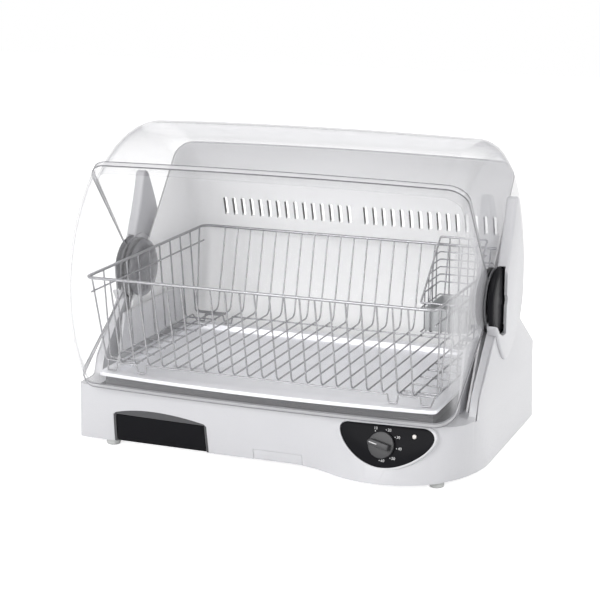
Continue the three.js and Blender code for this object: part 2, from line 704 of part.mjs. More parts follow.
// Base housing: outer form, hollow from below, with shoulders, tub, wings, panel boss and openings.
function makeBase() {
  const tubTop = TRAY_TOP - TRAY_SHEET - SEAT_GAP;
  const tubOuter = box(-TUB_HALF, TUB_HALF, -TUB_FRONT, TUB_REAR, TUB_FLOOR - SHELL, tubTop);
  const tubInner = box(
    -TUB_HALF + SHELL, TUB_HALF - SHELL, -TUB_FRONT + SHELL, TUB_REAR - SHELL, TUB_FLOOR, REACH);
  const hollow = baseForm(SHELL, FOOT_HEIGHT - OVERRUN)
    .subtract(drumSpace(SHELL)).subtract(capSeats(SHELL + SEAT_GAP)).subtract(tubOuter);
  const shell = baseForm(0).subtract(drumSpace(0)).subtract(capSeats(SEAT_GAP)).subtract(hollow);
  const bosses = atScrews(SCREW_BOSS, FOOT_HEIGHT + COVER_PLATE + SEAT_GAP, CAVITY_TOP + SHELL / 2);
  const pilots = atScrews(SCREW_RADIUS + SEAT_GAP, FOOT_HEIGHT, FOOT_HEIGHT + COVER_PLATE + SCREW_LENGTH);
  const wingSide = outline([
    [-WING_FRONT, CAVITY_TOP + SHELL / 2], [WING_REAR, CAVITY_TOP + SHELL / 2],
    [WING_REAR - WING_BATTER, WING_TOP], [-WING_FRONT + WING_BATTER, WING_TOP]]);
  const wings = [-1, 1].map((side) => alongX(
    wingSide, ...bySide(side, WING_OUTSIDE - WING_WALL, WING_OUTSIDE)));
  const boss = onPanel(alongZ(panelShape(PANEL_RIM), -BOSS_DEPTH, 0))
    .intersect(box(0, BASE_HALF, -REACH, 0, FOOT_HEIGHT, DECK_HEIGHT));
  const pocket = onPanel(alongZ(panelShape(SEAT_GAP), -PANEL_PLATE, OVERRUN));
  const bay = alongY(bayShape(SEAT_GAP), -REACH, TANK_NOSE + OVERRUN);
  const drain = discZ(DRAIN_RADIUS, DRAIN_X, DRAIN_Y, TUB_FLOOR - SHELL * 2, TUB_FLOOR + OVERRUN);
  const pitch = OUTLET_HALF * 2 / OUTLET_BARS;
  const outlets = Array.from({ length: OUTLET_BARS }, (_, i) => box(
    -OUTLET_HALF + pitch * i + OUTLET_BAR / 2, -OUTLET_HALF + pitch * (i + 1) - OUTLET_BAR / 2,
    OUTLET_FRONT, OUTLET_REAR, CAVITY_TOP - OVERRUN, HINGE_HEIGHT));
  const intake = box(FILTER_X - FILTER_WIDTH / 2 - SEAT_GAP, FILTER_X + FILTER_WIDTH / 2 + SEAT_GAP,
    BASE_REAR_TOP - SHELL * 2, REACH, FILTER_LOW - SEAT_GAP, FILTER_HIGH + SEAT_GAP);
  const cordHole = discY(GLAND_RADIUS + SEAT_GAP, GLAND_X, GLAND_HEIGHT, BASE_REAR - REAR_CORNER, REACH);
  const shaftHole = panelHole(SHAFT_RADIUS + RUN_GAP, KNOB_X, KNOB_DOWN);
  const lensHole = panelHole(LENS_RADIUS + SEAT_GAP, LENS_X, LENS_DOWN);
  return join([shell, tubOuter, ...wings, bosses, boss]).subtract(join([tubInner, pocket, bay,
    portSpace(SEAT_GAP), pilots, drain, ...outlets, intake, cordHole, shaftHole, lensHole]));
}

// Front view of the drain tank's bay: straight sides and an arched top.
function bayShape(margin) {
  const left = BAY_LEFT - margin;
  const right = BAY_RIGHT + margin;
  const crest = (BAY_CREST - BAY_SHOULDER) * 2;
  const shape = new THREE.Shape();
  shape.moveTo(left, FOOT_HEIGHT - OVERRUN);
  shape.lineTo(right, FOOT_HEIGHT - OVERRUN);
  shape.lineTo(right, BAY_SHOULDER + margin - BAY_FRAME);
  shape.quadraticCurveTo(right, BAY_SHOULDER + margin, right - BAY_FRAME, BAY_SHOULDER + margin);
  shape.quadraticCurveTo(left + (right - left) * BAY_CREST_SHARE, BAY_SHOULDER + crest + margin,
    left + BAY_FRAME, BAY_SHOULDER + margin);
  shape.quadraticCurveTo(left, BAY_SHOULDER + margin, left, BAY_SHOULDER + margin - BAY_FRAME);
  shape.closePath();
  return shape;
}

function makeBottomCover() {
  const plate = baseBlock(SHELL + SEAT_GAP, FOOT_HEIGHT, FOOT_HEIGHT + COVER_PLATE);
  const notch = box(BAY_LEFT - BAY_FRAME, BAY_RIGHT + BAY_FRAME, -REACH, -BASE_FRONT + SHELL * 2,
    FOOT_HEIGHT - OVERRUN, BAY_CREST);
  const rails = [BAY_LEFT + BAY_FRAME - SHELL, BAY_RIGHT - BAY_FRAME].map((x) => box(x, x + SHELL,
    -BASE_FRONT + TANK_RAIL_LEAD, -BASE_FRONT + TANK_LENGTH, FOOT_HEIGHT + COVER_PLATE / 2, TANK_RAIL));
  const holes = atScrews(SCREW_RADIUS + SEAT_GAP, FOOT_HEIGHT - OVERRUN, FOOT_HEIGHT + OVERRUN);
  const sinks = atScrews(SCREW_HEAD + SEAT_GAP, FOOT_HEIGHT - OVERRUN, FOOT_HEIGHT + COVER_PLATE / 2);
  const cut = plate.subtract(notch).subtract(portSpace(SEAT_GAP * 2));
  return join([cut, ...rails]).subtract(holes.add(sinks));
}

// Back housing: drum wall with two rows of vent slots, and side plates that carry the hinge.
function makeBackHousing() {
  const bore = PIN_RADIUS + SEAT_GAP;
  const sector = drumShell(REAR_HALF, REAR_RADIUS, SHELL, bore).intersect(wedge(SEAM_ANGLE, BACK_END));
  const discs = [-1, 1].map((side) => sideRing(
    side, REAR_HALF - SHELL - HINGE_BOSS, REAR_HALF - SEAT_GAP, bore, SEAM_HUB));
  const under = box(-REACH, REACH, -REACH, REACH, 0, DECK_HEIGHT + SEAT_GAP);
  const height = HINGE_HEIGHT + VENT_RISE;
  const slots = [-1, 1].flatMap((side) => Array.from({ length: VENT_COUNT }, (_, i) => {
    const x = side * (VENT_GAP / 2 + VENT_PITCH * i);
    return box(x - VENT_WIDTH / 2, x + VENT_WIDTH / 2, REAR_RADIUS / 2, REACH,
      height - VENT_HEIGHT / 2, height + VENT_HEIGHT / 2);
  }));
  return join([sector.subtract(seamCut()), ...discs]).subtract(under).subtract(join(slots));
}

// A flat ring round the hinge axis, on one side of the dryer.
function sideRing(side, inside, outside, bore, radius) {
  return discX(radius, ...bySide(side, inside, outside))
    .subtract(discX(bore, ...bySide(side, inside - OVERRUN, outside + OVERRUN), SMALL_STEPS));
}

// A thin cut along the seam between the rear hood and the back housing.
function seamCut() {
  return solid(new THREE.BoxGeometry(REACH, REACH, SEAT_GAP)
    .translate(0, -REACH / 2, 0).rotateX(-rad(SEAM_ANGLE)).translate(0, 0, HINGE_HEIGHT));
}

function makeFrontHood() {
  const bore = PIN_RADIUS + RUN_GAP;
  const shell = drumShell(HOOD_HALF, HOOD_RADIUS, CLEAR_WALL, bore);
  const band = drumShell(
    HOOD_HALF + LIP / 2, HOOD_RADIUS + LIP, CLEAR_WALL / 2 + LIP, HOOD_RADIUS - HOOD_CORNER);
  const tabs = [-1, 1].map((side) => sideRing(
    side, HOOD_HALF - CLEAR_WALL + TAB_INSET, HOOD_HALF - TAB_INSET, bore, HOOD_TAB));
  const topLip = band.intersect(wedge(HOOD_TOP - LIP_ANGLE, HOOD_TOP));
  const lowLip = band.intersect(wedge(HOOD_LOW, HOOD_LOW + LIP_ANGLE / 2));
  return join([shell.intersect(wedge(HOOD_LOW, HOOD_TOP)), topLip, lowLip, ...tabs]);
}

function makeRearHood() {
  const shell = drumShell(REAR_HALF, REAR_RADIUS, CLEAR_WALL, SEAM_HUB + SEAT_GAP);
  return shell.intersect(wedge(HOOD_TOP - HOOD_OVERLAP, SEAM_ANGLE)).subtract(seamCut());
}

// Ear cover: a leaf with a round seat for the hinge cap.
function makeEar(side) {
  const leaf = alongX(earShape(), ...bySide(side, EAR_INSIDE, EAR_OUTSIDE));
  const disc = discX(OUTER_CAP - SHELL, ...bySide(side, EAR_INSIDE, EAR_INSIDE + EAR_DISC));
  const seat = discX(OUTER_CAP + SEAT_GAP, ...bySide(side, EAR_INSIDE + EAR_DISC, EAR_OUTSIDE + OVERRUN));
  const through = bySide(side, EAR_INSIDE - OVERRUN, EAR_OUTSIDE + OVERRUN);
  const bore = discX(PIN_RADIUS + SEAT_GAP, ...through, SMALL_STEPS);
  const shoulder = baseForm(-SEAT_GAP).subtract(capSeats(0));
  return leaf.add(disc).subtract(seat).subtract(bore).subtract(shoulder);
}

const PIN_INSIDE = REAR_HALF - SHELL - PIN_REACH;
const PIN_OUTSIDE = EAR_INSIDE + EAR_DISC + PIN_HEAD;

// A turned profile for the right side, mirrored for the left.
const turnedOn = (side, profile, steps) => turned(profile.map(([r, x]) => [r, side * x]), steps);

function makeOuterCap(side) {
  const back = EAR_INSIDE + EAR_DISC + SEAT_GAP;
  const step = (OUTER_CAP_FACE - back) / 3;
  const bore = PIN_RADIUS + SEAT_GAP;
  const socket = PIN_OUTSIDE + SEAT_GAP;
  return turnedOn(side, [[0, socket], [bore, socket], [bore, back], [OUTER_CAP, back],
    [OUTER_CAP, back + step], [OUTER_CAP - step, back + step * 2],
    [OUTER_CAP - step * 3, OUTER_CAP_FACE], [0, OUTER_CAP_FACE]], ROUND_STEPS);
}

// Inner cap: a round cap whose face steps down in rings.
function makeInnerCap(side) {
  const back = REAR_HALF - SHELL - HINGE_BOSS - SEAT_GAP;
  const bore = PIN_RADIUS + SEAT_GAP;
  const socket = PIN_INSIDE - SEAT_GAP;
  const face = INNER_CAP_FACE;
  const inner = INNER_CAP - CAP_RING;
  return turnedOn(side, [[0, socket], [bore, socket], [bore, back], [INNER_CAP, back],
    [INNER_CAP, face + CAP_STEP], [INNER_CAP - CAP_STEP, face], [inner, face],
    [inner - CAP_STEP, face + CAP_STEP],
    [inner - CAP_RING, face + CAP_STEP], [inner - CAP_RING - CAP_STEP, face], [0, face]], ROUND_STEPS);
}

function makePin(side) {
  const collar = [REAR_HALF + SEAT_GAP, HOOD_HALF - CLEAR_WALL - SEAT_GAP];
  return turnedOn(side, [[0, PIN_INSIDE], [PIN_RADIUS, PIN_INSIDE], [PIN_RADIUS, collar[0]],
    [PIN_COLLAR, collar[0]], [PIN_COLLAR, collar[1]], [PIN_RADIUS, collar[1]],
    [PIN_RADIUS, PIN_OUTSIDE], [0, PIN_OUTSIDE]], SMALL_STEPS);
}

// Drip tray: a flat flange bowed at the front, round a shallow pan.
function makeTray() {
  const [half, front, rear, corner] = [TRAY_HALF, TRAY_FRONT, TRAY_REAR, TRAY_CORNER];
  const plan = new THREE.Shape();
  plan.moveTo(-half, rear - corner);
  plan.lineTo(-half, -front + corner);
  plan.quadraticCurveTo(-half, -front, -half + corner, -front);
  plan.quadraticCurveTo(0, -front - TRAY_BOW * 2, half - corner, -front);
  plan.quadraticCurveTo(half, -front, half, -front + corner);
  plan.lineTo(half, rear - corner);
  plan.quadraticCurveTo(half, rear, half - corner, rear);
  plan.lineTo(-half + corner, rear);
  plan.quadraticCurveTo(-half, rear, -half, rear - corner);
  const pan = (inset, top) => box(-half + TRAY_FLANGE + inset, half - TRAY_FLANGE - inset,
    -front + TRAY_FLANGE + inset, rear - TRAY_FLANGE - inset, TRAY_FLOOR - TRAY_SHEET + inset, top);
  const firstHole = DRAIN_X - (DRAIN_HOLES - 1) / 2 * DRAIN_PITCH;
  const holes = Array.from({ length: DRAIN_HOLES }, (_, i) => discZ(
    DRAIN_HOLE, firstHole + i * DRAIN_PITCH, DRAIN_Y, TRAY_FLOOR - OVERRUN, TRAY_FLOOR + OVERRUN));
  return alongZ(plan, TRAY_TOP - TRAY_SHEET, TRAY_TOP).add(pan(0, TRAY_TOP))
    .subtract(pan(TRAY_SHEET, REACH)).subtract(join(holes));
}

// Seal round the tub: a thin wall up to the tray's flange, on a foot that lies on the deck.
function makeSeal() {
  const low = DECK_HEIGHT + SEAT_GAP;
  const ringPlan = (out, side, z0, z1) => box(
    -TUB_HALF - side, TUB_HALF + side, -TUB_FRONT - out, TUB_REAR + out, z0, z1);
  const thick = SEAT_GAP + SEAL_WALL;
  const foot = ringPlan(SEAL_FOOT, SEAL_SIDE, low, low + SEAL_WALL)
    .intersect(baseBlock(RUN_GAP, DECK_HEIGHT, TRAY_TOP));
  const wall = ringPlan(thick, thick, low, TRAY_TOP - TRAY_SHEET - SEAT_GAP)
    .intersect(baseBlock(0, DECK_HEIGHT, TRAY_TOP));
  return foot.add(wall).subtract(ringPlan(SEAT_GAP, SEAT_GAP, 0, REACH));
}

// Wire basket: a rim, hoops from front to rear, bars at the sides and across the floor, and runners.
function makeBasket() {
  const fromNet = (low, high, z) => low + (high - low) * (z - NET_HEIGHT) / (RIM_HEIGHT - NET_HEIGHT);
  const level = (half, front, rear, z) => [
    at(-half, -front, z), at(half, -front, z), at(half, rear, z), at(-half, rear, z)];
  const rail = level(fromNet(NET_HALF, RIM_HALF, RAIL_HEIGHT) - BAR_WIRE,
    fromNet(NET_FRONT, RIM_FRONT, RAIL_HEIGHT), fromNet(NET_REAR, RIM_REAR, RAIL_HEIGHT), RAIL_HEIGHT);
  const under = NET_HEIGHT - NET_RING_DROP;
  const front = NET_FRONT - NET_CORNER - BAR_WIRE * 2;
  const rear = NET_REAR - NET_CORNER - BAR_WIRE * 2;
  const reach = RIM_WIRE * 2;
  const parts = [
    ring(level(RIM_HALF, RIM_FRONT, RIM_REAR, RIM_HEIGHT), RIM_WIRE, RIM_CORNER, RIM_SIDES),
    ring(level(NET_HALF, front, rear, under), BAR_WIRE, RIM_CORNER),
    wire([rail[0], rail[3]], BAR_WIRE),
    wire([rail[1], rail[2]], BAR_WIRE)];
  for (let i = 0; i < HOOP_COUNT; i += 1) {
    const place = 2 * i / (HOOP_COUNT - 1) - 1;
    const top = HOOP_TOP_HALF * place;
    const net = HOOP_NET_HALF * place;
    parts.push(welded(rounded([at(top, -RIM_FRONT, RIM_HEIGHT), at(net, -NET_FRONT, NET_HEIGHT),
      at(net, NET_REAR, NET_HEIGHT), at(top, RIM_REAR, RIM_HEIGHT)], NET_CORNER), BAR_WIRE, reach));
  }
  const foot = TRAY_FLOOR + SEAT_GAP + BAR_WIRE;
  for (const side of [-1, 1]) {
    for (let i = 1; i <= SIDE_BARS; i += 1) {
      const place = i / (SIDE_BARS + 1);
      parts.push(welded([at(side * RIM_HALF, -RIM_FRONT + (RIM_FRONT + RIM_REAR) * place, RIM_HEIGHT),
        at(side * NET_HALF, -front + (front + rear) * place, under)], BAR_WIRE, reach));
    }
    const x = side * HOOP_NET_HALF * (1 - 2 * RUNNER_HOOPS / (HOOP_COUNT - 1));
    parts.push(wire(rounded([at(x, -front, under), at(x, -front + NET_CORNER, foot),
      at(x, rear - NET_CORNER, foot), at(x, rear, under)], NET_CORNER / 2), BAR_WIRE));
  }
  for (let i = 1; i <= CROSS_BARS; i += 1) {
    const y = -front + (front + rear) * i / (CROSS_BARS + 1);
    parts.push(welded([at(-NET_HALF, y, NET_HEIGHT - CROSS_DROP), at(NET_HALF, y, NET_HEIGHT - CROSS_DROP)],
      BAR_WIRE, reach));
  }
  return join(parts);
}

// Cutlery basket: low at the front and high at the rear, of thin wires.
function makeCutleryBasket() {
  const [x0, x1, y0, y1] = [CUTLERY_LEFT, CUTLERY_RIGHT, CUTLERY_FRONT, CUTLERY_REAR];
  const [low, high, floor] = [CUTLERY_LOW, CUTLERY_HIGH, CUTLERY_BOTTOM];
  const rimY = (z) => y0 + (y1 - y0) * (z - low) / (high - low);
  const parts = [ring([at(x0, y0, low), at(x1, y0, low), at(x1, y1, high), at(x0, y1, high)],
    CUTLERY_RIM, CUTLERY_BEND)];
  for (const z of [floor, floor + LINER_HEIGHT]) {
    const corners = [at(x0, y0, z), at(x1, y0, z), at(x1, y1, z), at(x0, y1, z)];
    parts.push(ring(corners, CUTLERY_WIRE, CUTLERY_BEND));
  }
  for (let i = 1; i < CUTLERY_ROWS; i += 1) {
    const z = low + (high - low) * i / CUTLERY_ROWS;
    const route = [at(x0, rimY(z), z), at(x0, y1, z), at(x1, y1, z), at(x1, rimY(z), z)];
    parts.push(wire(rounded(route, CUTLERY_BEND), CUTLERY_WIRE));
  }
  for (let i = 1; i <= CUTLERY_BARS; i += 1) {
    const x = x0 + (x1 - x0) * i / (CUTLERY_BARS + 1);
    const route = [at(x, y0, low), at(x, y0, floor), at(x, y1, floor), at(x, y1, high)];
    parts.push(wire(rounded(route, CUTLERY_BEND), CUTLERY_WIRE));
  }
  const sideY = (i) => y0 + (y1 - y0) * i / (CUTLERY_SIDE_BARS + 1);
  for (let i = 1; i <= CUTLERY_SIDE_BARS; i += 1) {
    const z = low + (high - low) * i / (CUTLERY_SIDE_BARS + 1);
    [x0, x1].forEach((x) => parts.push(wire([at(x, sideY(i), z), at(x, sideY(i), floor)], CUTLERY_WIRE)));
  }
  const over = RIM_HEIGHT + RIM_WIRE + CUTLERY_WIRE + SEAT_GAP;
  const outside = RIM_HALF + RIM_WIRE + CUTLERY_WIRE + SEAT_GAP;
  for (const i of [CUTLERY_SIDE_BARS - 1, CUTLERY_SIDE_BARS]) {
    parts.push(wire(rounded([at(x1, sideY(i), over), at(outside, sideY(i), over),
      at(outside, sideY(i), RIM_HEIGHT - CUTLERY_HOOK)], CUTLERY_BEND), CUTLERY_WIRE));
  }
  return join(parts);
}

function makeLiner() {
  const gap = CUTLERY_BEND + CUTLERY_WIRE;
  const bottom = CUTLERY_BOTTOM + CUTLERY_WIRE + SEAT_GAP;
  const cup = (inset, top) => box(CUTLERY_LEFT + gap + inset, CUTLERY_RIGHT - gap - inset,
    CUTLERY_FRONT + gap + inset, CUTLERY_REAR - gap - inset, bottom + inset, top);
  return cup(0, CUTLERY_BOTTOM + LINER_HEIGHT).subtract(cup(LINER_WALL, REACH));
}

// Drain tank: an open box with a front that follows the base's leaning face.
function makeTank() {
  const rear = -BASE_FRONT + TANK_LENGTH;
  const trough = (inset, top) => box(TANK_LEFT + inset, TANK_RIGHT - inset,
    TANK_NOSE + SEAT_GAP + inset, rear - inset, TANK_FLOOR + inset, top);
  return trough(0, TANK_TOP).subtract(trough(TANK_WALL, REACH));
}

function makeTankFront() {
  return baseBlock(RUN_GAP, TANK_SILL, TANK_TOP)
    .intersect(box(TANK_LEFT, TANK_RIGHT, -REACH, TANK_NOSE, TANK_SILL, TANK_TOP));
}

function makeBayFrame() {
  const slab = baseBlock(SEAT_GAP, FOOT_HEIGHT + SEAT_GAP, BAY_CREST + OVERRUN)
    .intersect(alongY(bayShape(0), -REACH, TANK_NOSE));
  const opening = box(BAY_LEFT + BAY_FRAME, BAY_RIGHT - BAY_FRAME, -REACH, TANK_NOSE + OVERRUN,
    0, TANK_TOP + RUN_GAP);
  return slab.subtract(opening);
}

function makePortCover() {
  return baseBlock(0, FOOT_HEIGHT + SEAT_GAP, PORT_TOP).intersect(portSpace(0));
}

const makePanel = () => onPanel(alongZ(panelShape(0), -PANEL_PLATE + SEAT_GAP, 0))
  .subtract(panelHole(SHAFT_RADIUS + RUN_GAP, KNOB_X, KNOB_DOWN))
  .subtract(panelHole(LENS_RADIUS + SEAT_GAP, LENS_X, LENS_DOWN));

// Timer knob: a skirt, and a grip bar with a pointed nose, turned to its rest mark.
function makeKnob() {
  const half = GRIP_WIDTH / 2;
  const end = KNOB_RADIUS - POINTER;
  const skirt = discZ(KNOB_RADIUS, 0, 0, SEAT_GAP, KNOB_SKIRT, KNOB_RADIUS - KNOB_DRAFT, ROUND_STEPS);
  const nose = KNOB_RADIUS + POINTER / 2;
  const grip = alongZ(outline([[-half, -end], [half, -end], [half, end], [0, nose], [-half, end]]),
    KNOB_SKIRT / 2, KNOB_GRIP);
  const bore = discZ(SHAFT_RADIUS + SEAT_GAP, 0, 0, -OVERRUN, KNOB_GRIP / 2);
  const body = geometryOf(skirt.add(grip).subtract(bore));
  return onPanel(solid(body.rotateZ(rad(KNOB_REST)).translate(KNOB_X, -KNOB_DOWN, 0)));
}

function makeTimer() {
  const back = -BOSS_DEPTH - SEAT_GAP;
  const can = box(KNOB_X - TIMER_WIDTH / 2, KNOB_X + TIMER_WIDTH / 2, -KNOB_DOWN - TIMER_HEIGHT / 2,
    -KNOB_DOWN + TIMER_HEIGHT / 2, back - TIMER_DEPTH, back);
  return onPanel(can.add(discZ(SHAFT_RADIUS, KNOB_X, -KNOB_DOWN, back - OVERRUN, KNOB_GRIP / 2 - SEAT_GAP)));
}

const makeLens = () => onPanel(discZ(
  LENS_RADIUS, LENS_X, -LENS_DOWN, -BOSS_DEPTH, LENS_PROUD, LENS_RADIUS - LENS_PROUD / 2));

// Fan: a motor on the bottom cover, a bladed wheel, and a scroll that feeds the heater duct.
function makeMotor() {
  const top = COVER_TOP + MOTOR_HEIGHT;
  return discZ(MOTOR_RADIUS, FAN_X, FAN_Y, COVER_TOP, top, MOTOR_RADIUS - BLADE, ROUND_STEPS)
    .add(discZ(MOTOR_SHAFT, FAN_X, FAN_Y, COVER_TOP + MOTOR_HEIGHT / 2, FAN_FLOOR + FAN_HEIGHT / 2));
}

function makeFanWheel() {
  const top = FAN_FLOOR + FAN_HEIGHT;
  const middle = FAN_FLOOR + FAN_HEIGHT / 2;
  const disc = (radius, z0, z1) => discZ(radius, FAN_X, FAN_Y, z0, z1, radius, ROUND_STEPS);
  const blade = new THREE.BoxGeometry(BLADE_DEPTH, BLADE, FAN_HEIGHT).rotateZ(rad(BLADE_ANGLE))
    .translate(FAN_RADIUS - BLADE_DEPTH / 2 - BLADE, 0, middle);
  const blades = Array.from({ length: FAN_BLADES }, (_, i) => solid(
    blade.clone().rotateZ(2 * Math.PI * i / FAN_BLADES).translate(FAN_X, FAN_Y, 0)));
  const rim = disc(FAN_RADIUS, top - BLADE, top)
    .subtract(disc(FAN_RADIUS - BLADE_DEPTH, FAN_FLOOR, top + OVERRUN));
  const hub = discZ(MOTOR_SHAFT * 2, FAN_X, FAN_Y, FAN_FLOOR, middle + BLADE * 2);
  const bore = discZ(MOTOR_SHAFT + SEAT_GAP, FAN_X, FAN_Y, FAN_FLOOR - OVERRUN, middle + SEAT_GAP);
  return join([disc(FAN_RADIUS, FAN_FLOOR, FAN_FLOOR + BLADE), hub, rim, ...blades]).subtract(bore);
}

function makeScroll() {
  const wall = SCROLL_WALL;
  const drum = (radius, z0, z1) => discZ(radius, FAN_X, FAN_Y, z0, z1, radius, ROUND_STEPS);
  const room = (grow, z0, z1) => drum(SCROLL_RADIUS + grow, z0, z1)
    .add(box(DUCT_LEFT - grow, FAN_X, DUCT_FRONT - grow, DUCT_REAR + grow, z0, z1));
  const chimney = (grow, z0, z1) => box(-OUTLET_HALF - grow, OUTLET_HALF + grow,
    OUTLET_FRONT - grow, OUTLET_REAR + grow, z0, z1);
  const outside = room(wall, SCROLL_FLOOR, SCROLL_TOP)
    .add(chimney(wall, SCROLL_TOP - wall, CAVITY_TOP - SEAT_GAP));
  const inside = room(0, SCROLL_FLOOR + wall, SCROLL_TOP - wall)
    .add(chimney(0, SCROLL_TOP - OVERRUN, REACH));
  const shaftHole = discZ(
    MOTOR_SHAFT + RUN_GAP, FAN_X, FAN_Y, SCROLL_FLOOR - OVERRUN, SCROLL_FLOOR + OVERRUN);
  const inlet = drum(INLET_RADIUS, SCROLL_TOP - OVERRUN, REACH);
  return outside.subtract(inside).subtract(shaftHole).subtract(inlet);
}

function makeHeater() {
  const lower = SCROLL_FLOOR + SCROLL_WALL + SEAT_GAP;
  const upper = SCROLL_TOP - SCROLL_WALL - SEAT_GAP;
  const front = DUCT_FRONT + SEAT_GAP;
  const rear = DUCT_REAR - SEAT_GAP;
  const plates = [lower, upper - FIN * 2].map(
    (z) => box(HEATER_LEFT, HEATER_RIGHT, front, rear, z, z + FIN * 2));
  const pitch = (rear - front - FIN * 3) / (HEATER_FINS - 1);
  const fins = Array.from({ length: HEATER_FINS }, (_, i) => box(HEATER_LEFT + FIN, HEATER_RIGHT - FIN,
    front + FIN + pitch * i, front + FIN * 2 + pitch * i, lower + FIN, upper - FIN));
  return join([...plates, ...fins]);
}

// Thermostat: a button with two terminals, on top of the duct beside the heater.
function makeThermostat() {
  const [x, y] = [THERMOSTAT_X, THERMOSTAT_Y];
  const top = SCROLL_TOP + SEAT_GAP + THERMOSTAT_HEIGHT;
  const button = discZ(THERMOSTAT_RADIUS, x, y, SCROLL_TOP + SEAT_GAP, top);
  const blade = box(TERMINAL / -2, TERMINAL / 2, -TERMINAL, TERMINAL, -TERMINAL, TERMINAL);
  const terminals = [-1, 1].map((side) => blade.translate(x + side * THERMOSTAT_RADIUS / 2, y, top));
  return join([button, ...terminals]);
}

function makeFilter() {
  const [x0, x1] = [FILTER_X - FILTER_WIDTH / 2, FILTER_X + FILTER_WIDTH / 2];
  const frame = box(x0, x1, BASE_REAR_TOP - SHELL * 2, BASE_REAR_TOP, FILTER_LOW, FILTER_HIGH);
  const pitch = (FILTER_WIDTH - FILTER_FRAME * 2) / FILTER_BARS;
  const left = (i) => x0 + FILTER_FRAME + pitch * i;
  const gaps = Array.from({ length: FILTER_BARS }, (_, i) => box(left(i) + FILTER_BAR / 2,
    left(i + 1) - FILTER_BAR / 2, 0, REACH, FILTER_LOW + FILTER_FRAME, FILTER_HIGH - FILTER_FRAME));
  return frame.subtract(join(gaps));
}

function makeGland() {
  const disc = (radius, y0, y1) => discY(radius, GLAND_X, GLAND_HEIGHT, y0, y1);
  const inside = BASE_REAR_TOP - SHELL * 2;
  const outside = BASE_REAR + GLAND_COLLAR;
  const collar = disc(GLAND_RADIUS + GLAND_COLLAR, BASE_REAR + SEAT_GAP, outside);
  return disc(GLAND_RADIUS, inside, outside).add(collar).subtract(disc(GLAND_BORE, inside - OVERRUN, REACH));
}

const makeFoot = (x, y) => discZ(FOOT_RADIUS - FOOT_TAPER, x, y, 0, FOOT_HEIGHT - SEAT_GAP, FOOT_RADIUS);

function makeScrew(x, y) {
  const head = FOOT_HEIGHT + COVER_PLATE / 2 - SEAT_GAP;
  return discZ(SCREW_HEAD, x, y, FOOT_HEIGHT - SEAT_GAP, head)
    .add(discZ(SCREW_RADIUS, x, y, head - SEAT_GAP, FOOT_HEIGHT + SCREW_LENGTH));
}

piece('base_housing', makeBase(), 'white');
piece('bottom_cover', makeBottomCover(), 'white');
piece('back_housing', makeBackHousing(), 'white');
piece('front_hood', makeFrontHood(), 'clear');
piece('rear_hood', makeRearHood(), 'clear');
for (const [name, side] of [['left', -1], ['right', 1]]) {
  piece(`ear_cover_${name}`, makeEar(side), 'white');
  piece(`hinge_cap_${name}`, makeOuterCap(side), 'black');
  piece(`inner_cap_${name}`, makeInnerCap(side), 'smoke');
  piece(`hinge_pin_${name}`, makePin(side), 'grey');
  piece(`foot_front_${name}`, makeFoot(side * FOOT_X, -FOOT_FRONT), 'rubber');
  piece(`foot_rear_${name}`, makeFoot(side * FOOT_X, FOOT_REAR), 'rubber');
  piece(`cover_screw_front_${name}`, makeScrew(side * SCREW_X, -SCREW_FRONT), 'steel');
  piece(`cover_screw_rear_${name}`, makeScrew(side * SCREW_X, SCREW_REAR), 'steel');
}
piece('drip_tray', makeTray(), 'steel');
piece('tray_seal', makeSeal(), 'smoke');
piece('wire_basket', makeBasket(), 'wire');
piece('cutlery_basket', makeCutleryBasket(), 'wire');
piece('cutlery_liner', makeLiner(), 'grey');
piece('drain_tank', makeTank(), 'dark');
piece('tank_front', makeTankFront(), 'black');
piece('bay_frame', makeBayFrame(), 'dark');
piece('port_cover', makePortCover(), 'white');
piece('control_panel', makePanel(), 'black');
piece('timer_knob', makeKnob(), 'dark');
piece('timer_unit', makeTimer(), 'grey');
piece('pilot_lens', makeLens(), 'lens');
piece('fan_motor', makeMotor(), 'steel');
piece('fan_wheel', makeFanWheel(), 'dark');
piece('fan_scroll', makeScroll(), 'grey');
piece('heater', makeHeater(), 'steel');
piece('thermostat', makeThermostat(), 'dark');
piece('intake_filter', makeFilter(), 'white');
piece('cord_gland', makeGland(), 'grey');

dryer.position.y = (HOOD_RADIUS - REAR_RADIUS) / 2;

export default dryer;
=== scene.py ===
"""Countertop electric dish dryer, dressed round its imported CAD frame. Lengths are in metres."""
from math import cos, pi, radians, sin, sqrt

import bmesh
import bpy
from mathutils import Matrix, Vector


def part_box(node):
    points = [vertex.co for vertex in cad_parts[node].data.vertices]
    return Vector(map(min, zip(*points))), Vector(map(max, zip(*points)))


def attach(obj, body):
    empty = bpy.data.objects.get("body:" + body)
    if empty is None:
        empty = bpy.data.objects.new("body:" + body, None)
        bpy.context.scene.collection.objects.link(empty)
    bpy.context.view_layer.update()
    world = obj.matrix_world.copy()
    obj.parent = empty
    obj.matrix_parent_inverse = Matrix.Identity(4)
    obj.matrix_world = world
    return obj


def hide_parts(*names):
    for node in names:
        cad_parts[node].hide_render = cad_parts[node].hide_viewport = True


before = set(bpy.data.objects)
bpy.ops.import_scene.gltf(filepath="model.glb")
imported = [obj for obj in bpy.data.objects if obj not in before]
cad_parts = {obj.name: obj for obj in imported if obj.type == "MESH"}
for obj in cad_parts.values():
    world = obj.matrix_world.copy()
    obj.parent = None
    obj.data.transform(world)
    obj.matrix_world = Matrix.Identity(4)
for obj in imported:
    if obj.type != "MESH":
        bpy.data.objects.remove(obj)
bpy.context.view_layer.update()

# The drum's hinge axis runs along X. Depths below are measured from it.
HINGE_Y = 0.002
HINGE_Z = 0.203
SEAT_GAP = 0.0003
RUN_GAP = 0.0008
REACH = 0.35

